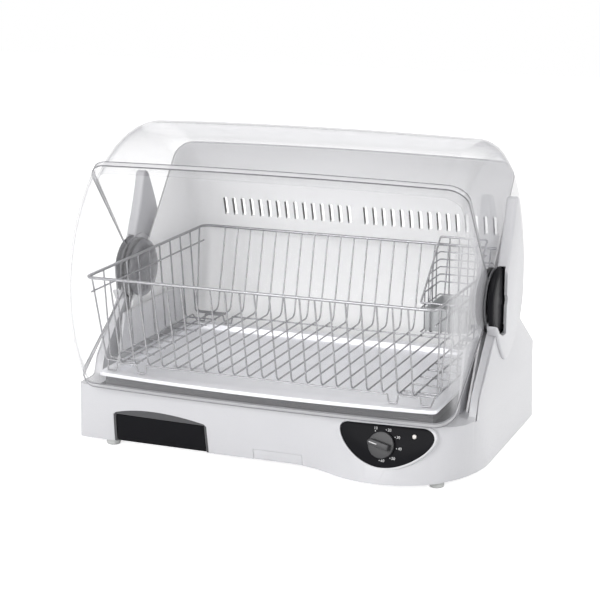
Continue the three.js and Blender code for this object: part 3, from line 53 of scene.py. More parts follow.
# Hood and back housing, with angles in degrees from the front, upwards
HOOD_RADIUS = 0.200
REAR_RADIUS = 0.196
CROWN = 0.003
HOOD_HALF = 0.245
REAR_HALF = 0.239
CORNER = 0.025
CLEAR_WALL = 0.0022
LIP = 0.0010
LIP_ANGLE = 2.2
BAND_HUB = 0.046
EDGE_LINE = 0.0003
HOOD_LOW = -36
HOOD_TOP = 53.5
OVERLAP = 4
SEAM_ANGLE = 129.5
BACK_END = 302
SEAM_HUB = 0.046
TAB = 0.030
PIN_BORE = 0.0088
WALL = 0.0025
VENTS = [side * (0.012 + 0.0131 * i) for side in (-1, 1) for i in range(15)]
VENT_HEIGHT = HINGE_Z + 0.0536

# Hinge pieces, out from the drum's middle
PIN_FIT = 0.0083
CAP_SEAT = 0.0423
EAR_INSIDE = 0.2478
EAR_WIDTH = 0.0142

# Base
FOOT = 0.009
DECK = 0.080
BASE_HALF = 0.260
DECK_HALF = 0.2585
BASE_REAR = 0.190
DECK_REAR = 0.188
BASE_FRONT = 0.141
DECK_FRONT = 0.156
BOW = 0.015
BULGE = 0.030
REAR_CORNER = 0.034
FRONT_CORNER = 0.009
PANEL_CORNER = 0.070
SHOULDER_IN = 0.2466
SHOULDER_TOP = 0.172
SHOULDER_FOOT = 0.098
TUB_HALF = 0.214
TUB_FRONT = 0.142
TUB_REAR = 0.121
TUB_FLOOR = 0.068
TRAY_TOP = 0.102
TRAY_FLOOR = 0.095
TRAY_SKIRT = 0.0042
SHEET = 0.001
BAY = (-0.207, -0.076)
BAY_FRAME = 0.003
BAY_SHOULDER = 0.048
BAY_CREST = 0.0555
TANK_TOP = 0.0455
TANK_SILL = 0.010
TANK_NOSE = 0.138
PORT = (-0.0145, 0.0505)
PORT_TOP = 0.023
PANEL_TILT = 18
PANEL_PLATE = 0.0025
PANEL_RIM = 0.0032
KNOB = Vector((0.1575, -0.0277, 0))
KNOB_REST = 77
LENS = Vector((0.1962, -0.0135, 0))

# Wire basket and cutlery basket
RIM_HEIGHT = 0.228
RIM_HALF = 0.226
RIM_FRONT = 0.171
RIM_REAR = 0.176
RIM_WIRE = 0.0019
BAR_WIRE = 0.0011
NET_HEIGHT = 0.1155
NET_HALF = 0.219
NET_DEPTH = 0.147
NET_BEND = 0.008
HOOPS = 21
HOOP_REACH = 0.1925
SIDE_BARS = 11
RAIL_HEIGHT = 0.208
CUTLERY = (0.149, 0.211, 0.012, 0.092)
CUTLERY_FLOOR = 0.150
CUTLERY_LOW = 0.188
CUTLERY_HIGH = 0.257
CUTLERY_WIRE = 0.0009
LINER_TOP = 0.181


def at(x, y, z):
    """A point whose depth is measured from the hinge axis."""
    return Vector((x, y + HINGE_Y, z))


def on_drum(x, radius, angle):
    """A point at an angle round the hinge axis, from the front upwards."""
    turn = radians(angle)
    return at(x, -radius * cos(turn), HINGE_Z + radius * sin(turn))


panel_place = Matrix.Translation(at(0, -0.147, DECK)) @ Matrix.Rotation(radians(90 - PANEL_TILT), 4, 'X')


# Tools for modelling

def pick(*pieces):
    """Selects these pieces alone, the first one active."""
    bpy.ops.object.select_all(action='DESELECT')
    for piece in pieces:
        piece.select_set(True)
    bpy.context.view_layer.objects.active = pieces[0]


def outline(name, points, filled=True):
    """A closed line through points, filled with one face or left open inside."""
    bpy.ops.object.select_all(action='DESELECT')
    bpy.ops.mesh.primitive_circle_add(vertices=len(points), fill_type='NGON' if filled else 'NOTHING')
    piece = bpy.context.object
    piece.name = name
    for vertex, point in zip(piece.data.vertices, points):
        vertex.co = point
    return piece


def face_outwards():
    """Turns the faces of the closed skin in edit mode outwards."""
    bpy.ops.mesh.select_all(action='SELECT')
    bpy.ops.mesh.normals_make_consistent(inside=False)


def prism(name, points, along):
    """A filled outline, extruded along a vector."""
    piece = outline(name, points)
    bpy.ops.object.mode_set(mode='EDIT')
    bpy.ops.mesh.select_all(action='SELECT')
    bpy.ops.mesh.extrude_region_move(TRANSFORM_OT_translate={"value": along})
    face_outwards()
    bpy.ops.object.mode_set(mode='OBJECT')
    return piece


def block(name, low, high):
    """A box between two corners, as a start for cutting."""
    points = [Vector((x, y, low[2])) for x, y in
              ((low[0], low[1]), (high[0], low[1]), (high[0], high[1]), (low[0], high[1]))]
    return prism(name, points, (0, 0, high[2] - low[2]))


def loft(name, rings):
    """A closed skin through outlines of equally many points."""
    piece = outline(name, rings[0])
    bpy.ops.object.mode_set(mode='EDIT')
    bpy.ops.mesh.select_all(action='SELECT')
    for here, there in zip(rings, rings[1:]):
        bpy.ops.mesh.extrude_region_move()
        mesh = bmesh.from_edit_mesh(piece.data)
        for vertex in mesh.verts:
            if vertex.select:
                nearest = min(range(len(here)), key=lambda i: (here[i] - vertex.co).length_squared)
                vertex.co = there[nearest]
        bmesh.update_edit_mesh(piece.data)
    face_outwards()
    bpy.ops.object.mode_set(mode='OBJECT')
    return piece


def spun(name, line, place, centre, axis, angle, steps):
    """A line of points, spun round an axis into a skin."""
    piece = outline(name, [place(*point) for point in line], filled=False)
    bpy.ops.object.mode_set(mode='EDIT')
    bpy.ops.mesh.select_mode(type='EDGE')
    bpy.ops.mesh.select_all(action='DESELECT')
    mesh = bmesh.from_edit_mesh(piece.data)
    for edge in mesh.edges:
        edge.select = {v.index for v in edge.verts} == {0, len(line) - 1}
    bmesh.update_edit_mesh(piece.data)
    bpy.ops.mesh.delete(type='EDGE')
    bpy.ops.mesh.select_mode(type='VERT')
    bpy.ops.mesh.select_all(action='SELECT')
    bpy.ops.mesh.spin(steps=steps, angle=angle, center=centre, axis=axis)
    bpy.ops.mesh.select_all(action='SELECT')
    bpy.ops.mesh.remove_doubles(threshold=1e-6)
    face_outwards()
    bpy.ops.object.mode_set(mode='OBJECT')
    return piece


def drum_strip(name, line, start, end, steps):
    """A line of (x, radius) spun about the hinge between two angles."""
    return spun(name, line, lambda x, radius: on_drum(x, radius, start), at(0, 0, HINGE_Z), (1, 0, 0),
                radians(end - start), steps)


def ring_on_axis(name, line, steps=64):
    """A closed profile of (x, radius) from the axis and back to it, turned once about the hinge."""
    return drum_strip(name, line, 0, 360, steps)


def post(name, line, x, y, steps=32):
    """A profile of (radius, z) turned once about an upright axis."""
    return spun(name, line, lambda radius, z: at(x + radius, y, z), at(x, y, 0), (0, 0, 1), 2 * pi, steps)


def apply_modifier(piece, kind, **settings):
    """Adds a modifier with its settings and applies it."""
    pick(piece)
    bpy.ops.object.modifier_add(type=kind)
    modifier = piece.modifiers[-1]
    for name, value in settings.items():
        setattr(modifier, name, value)
    bpy.ops.object.modifier_apply(modifier=modifier.name)


def carve(piece, tool, operation='DIFFERENCE'):
    """Cuts a tool out of a piece, or joins or keeps what they share. The tool is used up."""
    apply_modifier(piece, 'BOOLEAN', object=tool, operation=operation, solver='EXACT')
    bpy.data.objects.remove(tool)


def join(name, *pieces):
    """Several meshes made one piece."""
    pick(*pieces)
    if len(pieces) > 1:
        bpy.ops.object.join()
    pieces[0].name = name
    return pieces[0]


def soften(piece, width, segments=2, angle=30):
    """Rounds the sharp edges."""
    apply_modifier(piece, 'BEVEL', width=width, segments=segments, limit_method='ANGLE',
                   angle_limit=radians(angle), use_clamp_overlap=True)


def smooth(piece, angle=35):
    pick(piece)
    bpy.ops.object.shade_smooth_by_angle(angle=radians(angle))


def sheet_wall(piece, thickness):
    """Gives a skin its wall, inwards from its faces' front."""
    apply_modifier(piece, 'SOLIDIFY', thickness=thickness, offset=-1, use_even_offset=True)


def bend_points(corner, before, after, bend, steps):
    """Points of the rounded corner between two neighbours."""
    start = corner + (before - corner).normalized() * bend
    end = corner + (after - corner).normalized() * bend
    shares = [i / steps for i in range(steps + 1)]
    return [start * (1 - t) ** 2 + corner * 2 * t * (1 - t) + end * t * t for t in shares]


def rounded(corners, bend, closed=False, steps=6):
    """A path with its corners rounded."""
    count = len(corners)
    points = [] if closed else [corners[0]]
    for i in range(count) if closed else range(1, count - 1):
        points += bend_points(corners[i], corners[i - 1], corners[(i + 1) % count], bend, steps)
    return points if closed else points + [corners[-1]]


def wires(name, paths, radius, resolution=2):
    """Round wires along open and closed paths, made one mesh."""
    bpy.ops.object.select_all(action='DESELECT')
    bpy.ops.curve.primitive_bezier_curve_add()
    piece = bpy.context.object
    piece.name = name
    piece.data.splines.clear()
    for points, closed in paths:
        spline = piece.data.splines.new('POLY')
        spline.points.add(len(points) - 1)
        for place, point in zip(spline.points, points):
            place.co = (*point, 1)
        spline.use_cyclic_u = closed
    piece.data.bevel_depth = radius
    piece.data.bevel_resolution = resolution
    piece.data.use_fill_caps = True
    bpy.ops.object.convert(target='MESH')
    piece = bpy.context.object
    smooth(piece, 60)
    return piece


def cubic(a, b, c, d, steps):
    """Points after a, up to d, on a cubic curve."""
    shares = [i / steps for i in range(1, steps + 1)]
    return [a * (1 - t) ** 3 + b * 3 * t * (1 - t) ** 2 + c * 3 * t * t * (1 - t) + d * t ** 3 for t in shares]


def shaped(shares, place, steps=10):
    """A closed outline from shares: each row is a line, a quadratic or a cubic stretch."""
    points = [place(*shares[0])]
    for row in shares[1:]:
        stops = [place(*row[i:i + 2]) for i in range(0, len(row), 2)]
        start = points[-1]
        if len(stops) == 1:
            points.append(stops[0])
        elif len(stops) == 2:
            points += cubic(start, start.lerp(stops[0], 2 / 3), stops[1].lerp(stops[0], 2 / 3), stops[1], steps)
        else:
            points += cubic(start, *stops, steps)
    if (points[0] - points[-1]).length < 1e-6:
        points.pop()
    return points


def wear(piece, material, body, slot, *nodes):
    """Gives a finished piece its material, its body and the CAD nodes that it stands for."""
    piece.data.materials.clear()
    piece.data.materials.append(material)
    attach(piece, body)
    if nodes:
        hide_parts(*nodes)
    return piece


# Materials

def new_material(name, colour, roughness, metallic=0.0):
    """A Principled material, with its shader and node tree."""
    made = bpy.data.materials.new(name)
    made.use_nodes = True
    tree = made.node_tree
    shader = tree.nodes["Principled BSDF"]
    shader.inputs["Base Color"].default_value = (*colour, 1)
    shader.inputs["Roughness"].default_value = roughness
    shader.inputs["Metallic"].default_value = metallic
    return made, tree, shader


def noise(tree, size, stretch=(1, 1, 1), detail=3):
    """Noise on Object coordinates. Size is the width of one blotch."""
    place = tree.nodes.new("ShaderNodeTexCoord")
    mapping = tree.nodes.new("ShaderNodeMapping")
    mapping.inputs["Scale"].default_value = stretch
    made = tree.nodes.new("ShaderNodeTexNoise")
    made.inputs["Scale"].default_value = 1 / size
    made.inputs["Detail"].default_value = detail
    tree.links.new(place.outputs["Object"], mapping.inputs["Vector"])
    tree.links.new(mapping.outputs["Vector"], made.inputs["Vector"])
    return made.outputs["Fac"]


def spread(tree, source, low, high):
    """A 0 to 1 signal stretched between two values."""
    made = tree.nodes.new("ShaderNodeMapRange")
    made.inputs["From Min"].default_value = 0.3
    made.inputs["From Max"].default_value = 0.7
    made.inputs["To Min"].default_value = low
    made.inputs["To Max"].default_value = high
    tree.links.new(source, made.inputs["Value"])
    return made.outputs["Result"]


def tint(tree, source, first, second):
    """A colour that goes from the first to the second with a signal."""
    made = tree.nodes.new("ShaderNodeMix")
    made.data_type = 'RGBA'
    made.inputs["A"].default_value = (*first, 1)
    made.inputs["B"].default_value = (*second, 1)
    tree.links.new(source, made.inputs["Factor"])
    return made.outputs["Result"]


def relief(tree, shader, source, height, strength=1.0):
    """Bump of a real height."""
    made = tree.nodes.new("ShaderNodeBump")
    made.inputs["Distance"].default_value = height
    made.inputs["Strength"].default_value = strength
    tree.links.new(source, made.inputs["Height"])
    tree.links.new(made.outputs["Normal"], shader.inputs["Normal"])


def moulded(name, colour, shade, roughness, grain=0.0006, depth=0.00002, gloss=0.5):
    """Moulded plastic: faint flow clouds in its colour, and a fine grain in gloss and surface."""
    made, tree, shader = new_material(name, colour, roughness)
    clouds = noise(tree, 0.06)
    fine = noise(tree, grain, detail=4)
    tree.links.new(tint(tree, clouds, colour, shade), shader.inputs["Base Color"])
    tree.links.new(spread(tree, fine, roughness * 0.85, roughness * 1.15), shader.inputs["Roughness"])
    relief(tree, shader, fine, depth)
    shader.inputs["Specular IOR Level"].default_value = gloss
    return made


def clear_plastic(name, colour, grazing_reflection_colour, facing_alpha, edge_alpha):
    """Clear sheet: it shows little face on, and its colour greys towards grazing view angles, a painted edge
    reflection.
    """
    made, tree, shader = new_material(name, colour, 0.05)
    layer = tree.nodes.new("ShaderNodeLayerWeight")
    layer.inputs["Blend"].default_value = 0.5
    edge = tree.nodes.new("ShaderNodeMath")
    edge.operation = 'POWER'
    edge.inputs[1].default_value = 3
    tree.links.new(layer.outputs["Facing"], edge.inputs[0])
    ramp = tree.nodes.new("ShaderNodeMapRange")
    ramp.inputs["To Min"].default_value = facing_alpha
    ramp.inputs["To Max"].default_value = edge_alpha
    tree.links.new(edge.outputs["Value"], ramp.inputs["Value"])
    tree.links.new(ramp.outputs["Result"], shader.inputs["Alpha"])
    # The colour darkens towards grazing angles: painted reflection.
    tree.links.new(tint(tree, edge.outputs["Value"], colour, grazing_reflection_colour), shader.inputs["Base Color"])
    haze = noise(tree, 0.05, detail=2)
    tree.links.new(spread(tree, haze, 0.03, 0.08), shader.inputs["Roughness"])
    relief(tree, shader, haze, 0.0003, 0.4)
    return made


def brushed(name, colour, shade, roughness, line=0.0004, stretch=(0.03, 1, 1)):
    """Brushed metal: long fine lines in its gloss and surface, and faint clouds in its colour."""
    made, tree, shader = new_material(name, colour, roughness, metallic=1.0)
    lines = noise(tree, line, stretch, detail=2)
    clouds = noise(tree, 0.05)
    tree.links.new(tint(tree, clouds, colour, shade), shader.inputs["Base Color"])
    tree.links.new(spread(tree, lines, roughness * 0.75, roughness * 1.3), shader.inputs["Roughness"])
    relief(tree, shader, lines, 0.00002)
    return made


# white_shell_painted_shade and white_back_painted_light are one white plastic in two copies. The shell is painted
# darker (painted shade) and the back painted brighter (painted light), to even out how much lamp light reaches the
# outside and the inside.
white_shell_painted_shade = moulded("white_shell_painted_shade", (0.66, 0.66, 0.68), (0.63, 0.63, 0.655), 0.30)
white_back_painted_light = moulded("white_back_painted_light", (0.97, 0.97, 0.975), (0.95, 0.95, 0.955), 0.45)
black_gloss = moulded("black_gloss", (0.010, 0.010, 0.012), (0.014, 0.014, 0.016), 0.22, depth=0.000004, gloss=0.03)
smoke_grey = moulded("smoke_grey", (0.075, 0.075, 0.08), (0.09, 0.09, 0.095), 0.38, gloss=0.3)
dark_plastic = moulded("dark_plastic", (0.035, 0.035, 0.038), (0.05, 0.05, 0.052), 0.36, depth=0.00003, gloss=0.35)
grey_plastic = moulded("grey_plastic", (0.52, 0.53, 0.54), (0.48, 0.49, 0.5), 0.45, depth=0.00003)
foot_rubber = moulded("foot_rubber", (0.66, 0.67, 0.66), (0.60, 0.61, 0.60), 0.75, 0.0003, 0.00005)
# A near-black seal that stands where the shade under the tray's flange falls: painted shade.
seal_rubber = moulded("seal_rubber", (0.05, 0.05, 0.055), (0.07, 0.07, 0.075), 0.6, 0.0003, 0.00004, gloss=0.3)
lens_clear = moulded("lens_clear", (0.78, 0.74, 0.70), (0.70, 0.66, 0.62), 0.15, depth=0.000005)
dial_print = moulded("dial_print", (0.80, 0.80, 0.80), (0.74, 0.74, 0.75), 0.5, 0.0002, 0.000005)
clear_hood = clear_plastic("clear_hood", (0.90, 0.90, 0.92), (0.26, 0.26, 0.30), 0.02, 0.95)
clear_rear = clear_plastic("clear_rear", (0.62, 0.62, 0.65), (0.36, 0.36, 0.40), 0.06, 0.8)
clear_lip = clear_plastic("clear_lip", (0.88, 0.88, 0.90), (0.40, 0.40, 0.43), 0.4, 0.8)
# Drawn as thin dark bands along the clear lips' edges and the rear hood's seam: painted reflection of the clear
# sheet's edges.
clear_edge_painted_dark = clear_plastic("clear_edge_painted_dark", (0.16, 0.16, 0.18), (0.10, 0.10, 0.12), 0.6, 0.9)
smoke_clear = clear_plastic("smoke_clear", (0.34, 0.34, 0.36), (0.16, 0.16, 0.18), 0.5, 0.85)
tray_steel = brushed("tray_steel", (0.88, 0.88, 0.90), (0.82, 0.82, 0.85), 0.5)
wire_steel = brushed("wire_steel", (0.36, 0.36, 0.375), (0.28, 0.28, 0.29), 0.28, 0.0008, (1, 1, 1))
plain_steel = brushed("plain_steel", (0.60, 0.60, 0.61), (0.53, 0.53, 0.54), 0.38)
fin_aluminium = brushed("fin_aluminium", (0.68, 0.68, 0.69), (0.62, 0.62, 0.63), 0.4, stretch=(1, 0.05, 1))


# Camera, floor and light

def place_camera():
    bpy.ops.object.camera_add(location=(0.79765, -2.01605, 0.72221))
    camera = bpy.context.object
    camera.rotation_euler = Vector((-0.3603, 0.9008, -0.2423)).to_track_quat('-Z', 'Y').to_euler()
    camera.data.sensor_width = 36
    camera.data.lens = 104.71
    bpy.context.scene.camera = camera


def seen_directly(tree):
    """1 where the camera sees a thing itself, or in gloss or through glass."""
    path = tree.nodes.new("ShaderNodeLightPath")
    total = path.outputs["Is Camera Ray"]
    for name in ("Is Glossy Ray", "Is Transmission Ray"):
        most = tree.nodes.new("ShaderNodeMath")
        most.operation = 'MAXIMUM'
        tree.links.new(total, most.inputs[0])
        tree.links.new(path.outputs[name], most.inputs[1])
        total = most.outputs["Value"]
    return total


def make_world(level):
    """White where it is seen, and plain soft light on the object."""
    world = bpy.data.worlds.new("studio")
    world.use_nodes = True
    bpy.context.scene.world = world
    tree = world.node_tree
    ground = tree.nodes["Background"]
    ground.inputs["Color"].default_value = (1, 1, 1, 1)
    strength = tree.nodes.new("ShaderNodeMapRange")
    strength.inputs["To Min"].default_value = level
    strength.inputs["To Max"].default_value = 1.0
    tree.links.new(seen_directly(tree), strength.inputs["Value"])
    tree.links.new(strength.outputs["Result"], ground.inputs["Strength"])


def make_floor():
    """A pale floor that shows white and keeps a faint shadow of the object."""
    bpy.ops.object.select_all(action='DESELECT')
    bpy.ops.mesh.primitive_plane_add(size=8, location=(0, 0, -0.0005))
    floor = bpy.context.object
    floor.name = "floor"
    made, tree, shader = new_material("floor_white", (0.9, 0.9, 0.9), 0.8)
    shader.inputs["Emission Color"].default_value = (1, 1, 1, 1)
    light = tree.nodes.new("ShaderNodeMath")
    light.operation = 'MULTIPLY'
    light.inputs[1].default_value = 0.75
    tree.links.new(seen_directly(tree), light.inputs[0])
    tree.links.new(light.outputs["Value"], shader.inputs["Emission Strength"])
    floor.data.materials.append(made)


def add_softbox(place, aim, size, power):
    bpy.ops.object.light_add(type='AREA', location=place)
    lamp = bpy.context.object
    lamp.data.shape = 'RECTANGLE'
    lamp.data.size = size[0]
    lamp.data.size_y = size[1]
    lamp.data.energy = power
    lamp.rotation_euler = (Vector(aim) - Vector(place)).to_track_quat('-Z', 'Y').to_euler()


# Base

def base_plan(top, inset):
    """Plan of the base at the deck or at the bottom edge, drawn in by an inset."""
    half = (DECK_HALF if top else BASE_HALF) - inset
    rear = (DECK_REAR if top else BASE_REAR) - inset
    front = (DECK_FRONT if top else BASE_FRONT) - inset
    ends = BASE_FRONT - inset
    crest = (DECK_FRONT - BOW / 2 if top else BASE_FRONT + BULGE) - inset
    corner = FRONT_CORNER if top else PANEL_CORNER
    arc = [Vector((cos(i * pi / 24), sin(i * pi / 24))) * REAR_CORNER for i in range(13)]
    middle = Vector((half - REAR_CORNER, rear - REAR_CORNER))
    points = [middle + p for p in arc]
    points += [Vector((-middle.x - p.x, middle.y + p.y)) for p in reversed(arc)]
    turn = Vector((-half + FRONT_CORNER, -ends + FRONT_CORNER))
    points += [turn - Vector((cos(i * pi / 16), sin(i * pi / 16))) * FRONT_CORNER for i in range(9)]
    bend = (half - FRONT_CORNER) / 3
    points += cubic(points[-1], Vector((-2 * bend, -(ends + 2 * front) / 3)), Vector((-bend, -front)),
                    Vector((0.030, -front)), 30)
    points += cubic(points[-1], Vector((0.090, -front)), Vector((0.090, -crest)), Vector((0.150, -crest)), 24)
    points += cubic(points[-1], Vector((half - corner / 2, -crest)), Vector((half, -crest + corner)),
                    Vector((half, -0.050)), 30)
    return points


def base_block(name, inset, low, high):
    """The base's outer form between two heights, straight up above the deck."""
    bottom = base_plan(False, inset)
    deck = base_plan(True, inset)

    def ring(z):
        share = min(1, (z - FOOT) / (DECK - FOOT))
        return [at(*a.lerp(b, share), z) for a, b in zip(bottom, deck)]
    levels = [low, DECK, high] if low < DECK < high else [low, high]
    return loft(name, [ring(z) for z in levels])


def side_profile(drop):
    """Side view of the base: deck, shoulder and rear slope, moved down by a drop."""
    shoulder = [at(0, y, z - drop) for y, z in (
        (0.190, 0.092), (0.0688, SHOULDER_TOP), (-0.024, SHOULDER_TOP), (-0.090, DECK + 0.024),
        (-SHOULDER_FOOT, DECK + 0.0025))]
    foot = at(0, -SHOULDER_FOOT - 0.005, DECK - drop)
    fillet = cubic(shoulder[-1], shoulder[-1].lerp(foot, 0.6), foot, foot + Vector((0, -0.005, 0)), 6)
    rise = [at(0, 0.2, 0.092 - drop)]
    return [at(0, -REACH, 0), at(0, 0.2, 0)] + rise + shoulder + fillet + [at(0, -REACH, DECK - drop)]


def base_form(name, inset, low):
    """The base's whole outside, drawn in by a wall."""
    piece = base_block(name, inset, low, 0.19)
    points = [Vector((-REACH, p.y, p.z)) for p in side_profile(inset * 1.3)]
    carve(piece, prism("profile", points, (2 * REACH, 0, 0)), 'INTERSECT')
    return piece


def drum_space(grow):
    """The space inside the drum above the deck, grown by a wall."""
    radius = REAR_RADIUS + CROWN + RUN_GAP + grow
    drop = HINGE_Z - DECK + grow
    reach = sqrt(radius ** 2 - drop ** 2)
    angles = [180 + i * 4 for i in range(12) if radius * sin(radians(i * 4)) < drop]
    arc = [on_drum(0, radius, angle) for angle in reversed(angles)]
    line = [at(0, -REACH, DECK - grow), at(0, reach, DECK - grow)] + arc + [at(0, -REACH, HINGE_Z)]
    half = SHOULDER_IN + grow
    return prism("drum_space", [Vector((-half, p.y, p.z)) for p in line], (2 * half, 0, 0))


def disc_x(name, radius, x0, x1, steps=64):
    """A disc about the hinge axis."""
    points = [on_drum(x0, radius, 360 * i / steps) for i in range(steps)]
    return prism(name, points, (x1 - x0, 0, 0))


def panel_outline(margin):
    """Half-moon of the control panel, in the panel's own plane."""
    shares = [(0, 0.22), (0, 0.1, 0.03, 0.05, 0.08, 0.04), (0.88, 0), (0.96, 0.02, 1, 0.12, 1, 0.23),
              (1, 0.5, 0.72, 1, 0.47, 1), (0.22, 1, 0.01, 0.5, 0, 0.22)]
    return shaped(shares, lambda u, v: Vector((
        0.103 - margin + (0.118 + 2 * margin) * u, -0.0026 + margin - (0.052 + 2 * margin) * v, 0)), 16)


def on_panel(piece):
    """Moves a piece drawn in the panel's plane to its place on the base."""
    piece.data.transform(panel_place)
    return piece


def panel_slab(name, margin, low, high):
    points = [p + Vector((0, 0, low)) for p in panel_outline(margin)]
    return on_panel(prism(name, points, (0, 0, high - low)))


def bay_outline(margin, y):
    """Front view of the drain tank's bay: straight sides under an arch."""
    left, right = BAY[0] - margin, BAY[1] + margin
    top = BAY_SHOULDER + margin
    crest = at(left + (right - left) * 0.42, y, BAY_SHOULDER + 2 * (BAY_CREST - BAY_SHOULDER) + margin)
    spring = at(right - BAY_FRAME, y, top)
    landing = at(left + BAY_FRAME, y, top)
    points = [at(left, y, FOOT - 0.001), at(right, y, FOOT - 0.001), at(right, y, top - BAY_FRAME), spring]
    points += cubic(spring, spring.lerp(crest, 2 / 3), landing.lerp(crest, 2 / 3), landing, 24)
    return points + [at(left, y, top - BAY_FRAME)]


def make_base():
    """Base housing: its outer form with soft edges, hollowed, with the tub, wings, bay and panel rim."""
    base = base_form("base_housing_shell", 0, FOOT)
    carve(base, drum_space(0))
    for side in (-1, 1):
        carve(base, disc_x("seat", CAP_SEAT, side * (SHOULDER_IN - 0.002), side * 0.27))
    soften(base, 0.0036, 4, 38)
    for side in (-1, 1):
        near, far = sorted((side * 0.2556, side * 0.2568))
        groove = block("groove", (near, -0.125, DECK - 0.002), (far, -0.024, 0.18))
        carve(groove, base_form("core", 0.0014, FOOT))
        carve(base, groove)
    boss = panel_slab("panel_rim", PANEL_RIM, -0.016, 0.0007)
    carve(boss, block("under_deck", (0, -0.3, FOOT), (0.26, 0.01, DECK - 0.0006)), 'INTERSECT')
    soften(boss, 0.0009, 2, 40)
    hollow = base_form("hollow", WALL, FOOT - 0.0005)
    carve(hollow, drum_space(WALL))
    tub_front, tub_rear = HINGE_Y - TUB_FRONT, HINGE_Y + TUB_REAR
    tub_top = TRAY_TOP - SHEET - SEAT_GAP
    tub_low, tub_high = (-TUB_HALF, tub_front, TUB_FLOOR - WALL), (TUB_HALF, tub_rear, tub_top)
    carve(hollow, block("tub_outside", tub_low, tub_high))
    carve(base, hollow)
    carve(base, boss, 'UNION')
    carve(base, block("tub_walls", tub_low, tub_high), 'UNION')
    for side in (-1, 1):
        side_line = [(-0.088, DECK - 0.001), (0.128, DECK - 0.001), (0.105, 0.157), (-0.065, 0.157)]
        wing = prism("wing", [at(side * 0.228, y, z) for y, z in side_line], (side * 0.004, 0, 0))
        soften(wing, 0.0012)
        carve(base, wing, 'UNION')
    carve(base, block("tub_inside", (-TUB_HALF + WALL, tub_front + WALL, TUB_FLOOR),
                      (TUB_HALF - WALL, tub_rear - WALL, 0.2)))
    carve(base, panel_slab("pocket", SEAT_GAP, -PANEL_PLATE, 0.01))
    carve(base, prism("bay", bay_outline(SEAT_GAP, -0.3), (0, 0.3 - TANK_NOSE + 0.001, 0)))
    carve(base, block("port", (PORT[0] - SEAT_GAP, -0.3, 0), (PORT[1] + SEAT_GAP, -0.136, PORT_TOP + SEAT_GAP)))
    carve(base, block("intake", (0.1047, 0.18, 0.0217), (0.1953, 0.3, 0.0583)))
    pitch = 0.120 / 9
    for i in range(9):
        left = -0.060 + pitch * i
        carve(base, block("outlet", (left + 0.0012, 0.133, DECK - 0.004), (left + pitch - 0.0012, 0.149, 0.09)))
    for radius, spot in ((0.0038, KNOB), (0.0029, LENS)):
        points = [spot + Vector((radius * cos(i * pi / 12), radius * sin(i * pi / 12), -0.03)) for i in range(24)]
        carve(base, on_panel(prism("hole", points, (0, 0, 0.05))))
    drain = [at(-0.140 + 0.007 * cos(i * pi / 12), -0.070 + 0.007 * sin(i * pi / 12), 0.06) for i in range(24)]
    carve(base, prism("drain", drain, (0, 0, 0.02)))
    gland = [at(-0.180 + 0.0083 * cos(i * pi / 12), 0.15, 0.030 + 0.0083 * sin(i * pi / 12)) for i in range(24)]
    carve(base, prism("cord_hole", gland, (0, 0.06, 0)))
    smooth(base, 32)
    wear(base, white_shell_painted_shade, "dryer", "white_plastic", "base_housing")


# Hoods and back housing

def drum_line(half, radius, hub, crown=CROWN, corner=CORNER):
    """Section of the drum from one hub over the crown to the other, as (x, radius)."""
    side = [(half, hub + (radius - corner - hub) * i / 8) for i in range(9)]
    arc = [(half - corner + corner * cos(i * pi / 20), radius - corner + corner * sin(i * pi / 20))
           for i in range(1, 11)]
    flat = half - corner
    top = [(flat * (1 - i / 12), radius + crown * (1 - (1 - i / 12) ** 2)) for i in range(1, 13)]
    right = side + arc + top
    return right + [(-x, r) for x, r in reversed(right[:-1])]


def face_from_hub(piece):
    """Turns an open drum skin so that its faces look away from the hinge axis."""
    lean = sum(face.normal.dot(face.center - Vector((0, HINGE_Y, HINGE_Z))) * face.area
               for face in piece.data.polygons)
    if lean < 0:
        pick(piece)
        bpy.ops.object.mode_set(mode='EDIT')
        bpy.ops.mesh.select_all(action='SELECT')
        bpy.ops.mesh.flip_normals()
        bpy.ops.object.mode_set(mode='OBJECT')


def merge_skin(piece):
    """Welds a skin's strips where they meet."""
    pick(piece)
    bpy.ops.object.mode_set(mode='EDIT')
    bpy.ops.mesh.select_all(action='SELECT')
    bpy.ops.mesh.remove_doubles(threshold=2e-6)
    face_outwards()
    bpy.ops.object.mode_set(mode='OBJECT')
    face_from_hub(piece)


def hub_strips(half, radii, start, end, steps):
    """The part of both side walls near the hub, over angles that the drum itself leaves out."""
    return [drum_strip("hub", [(side * half, r) for r in radii], start, end, steps) for side in (-1, 1)]


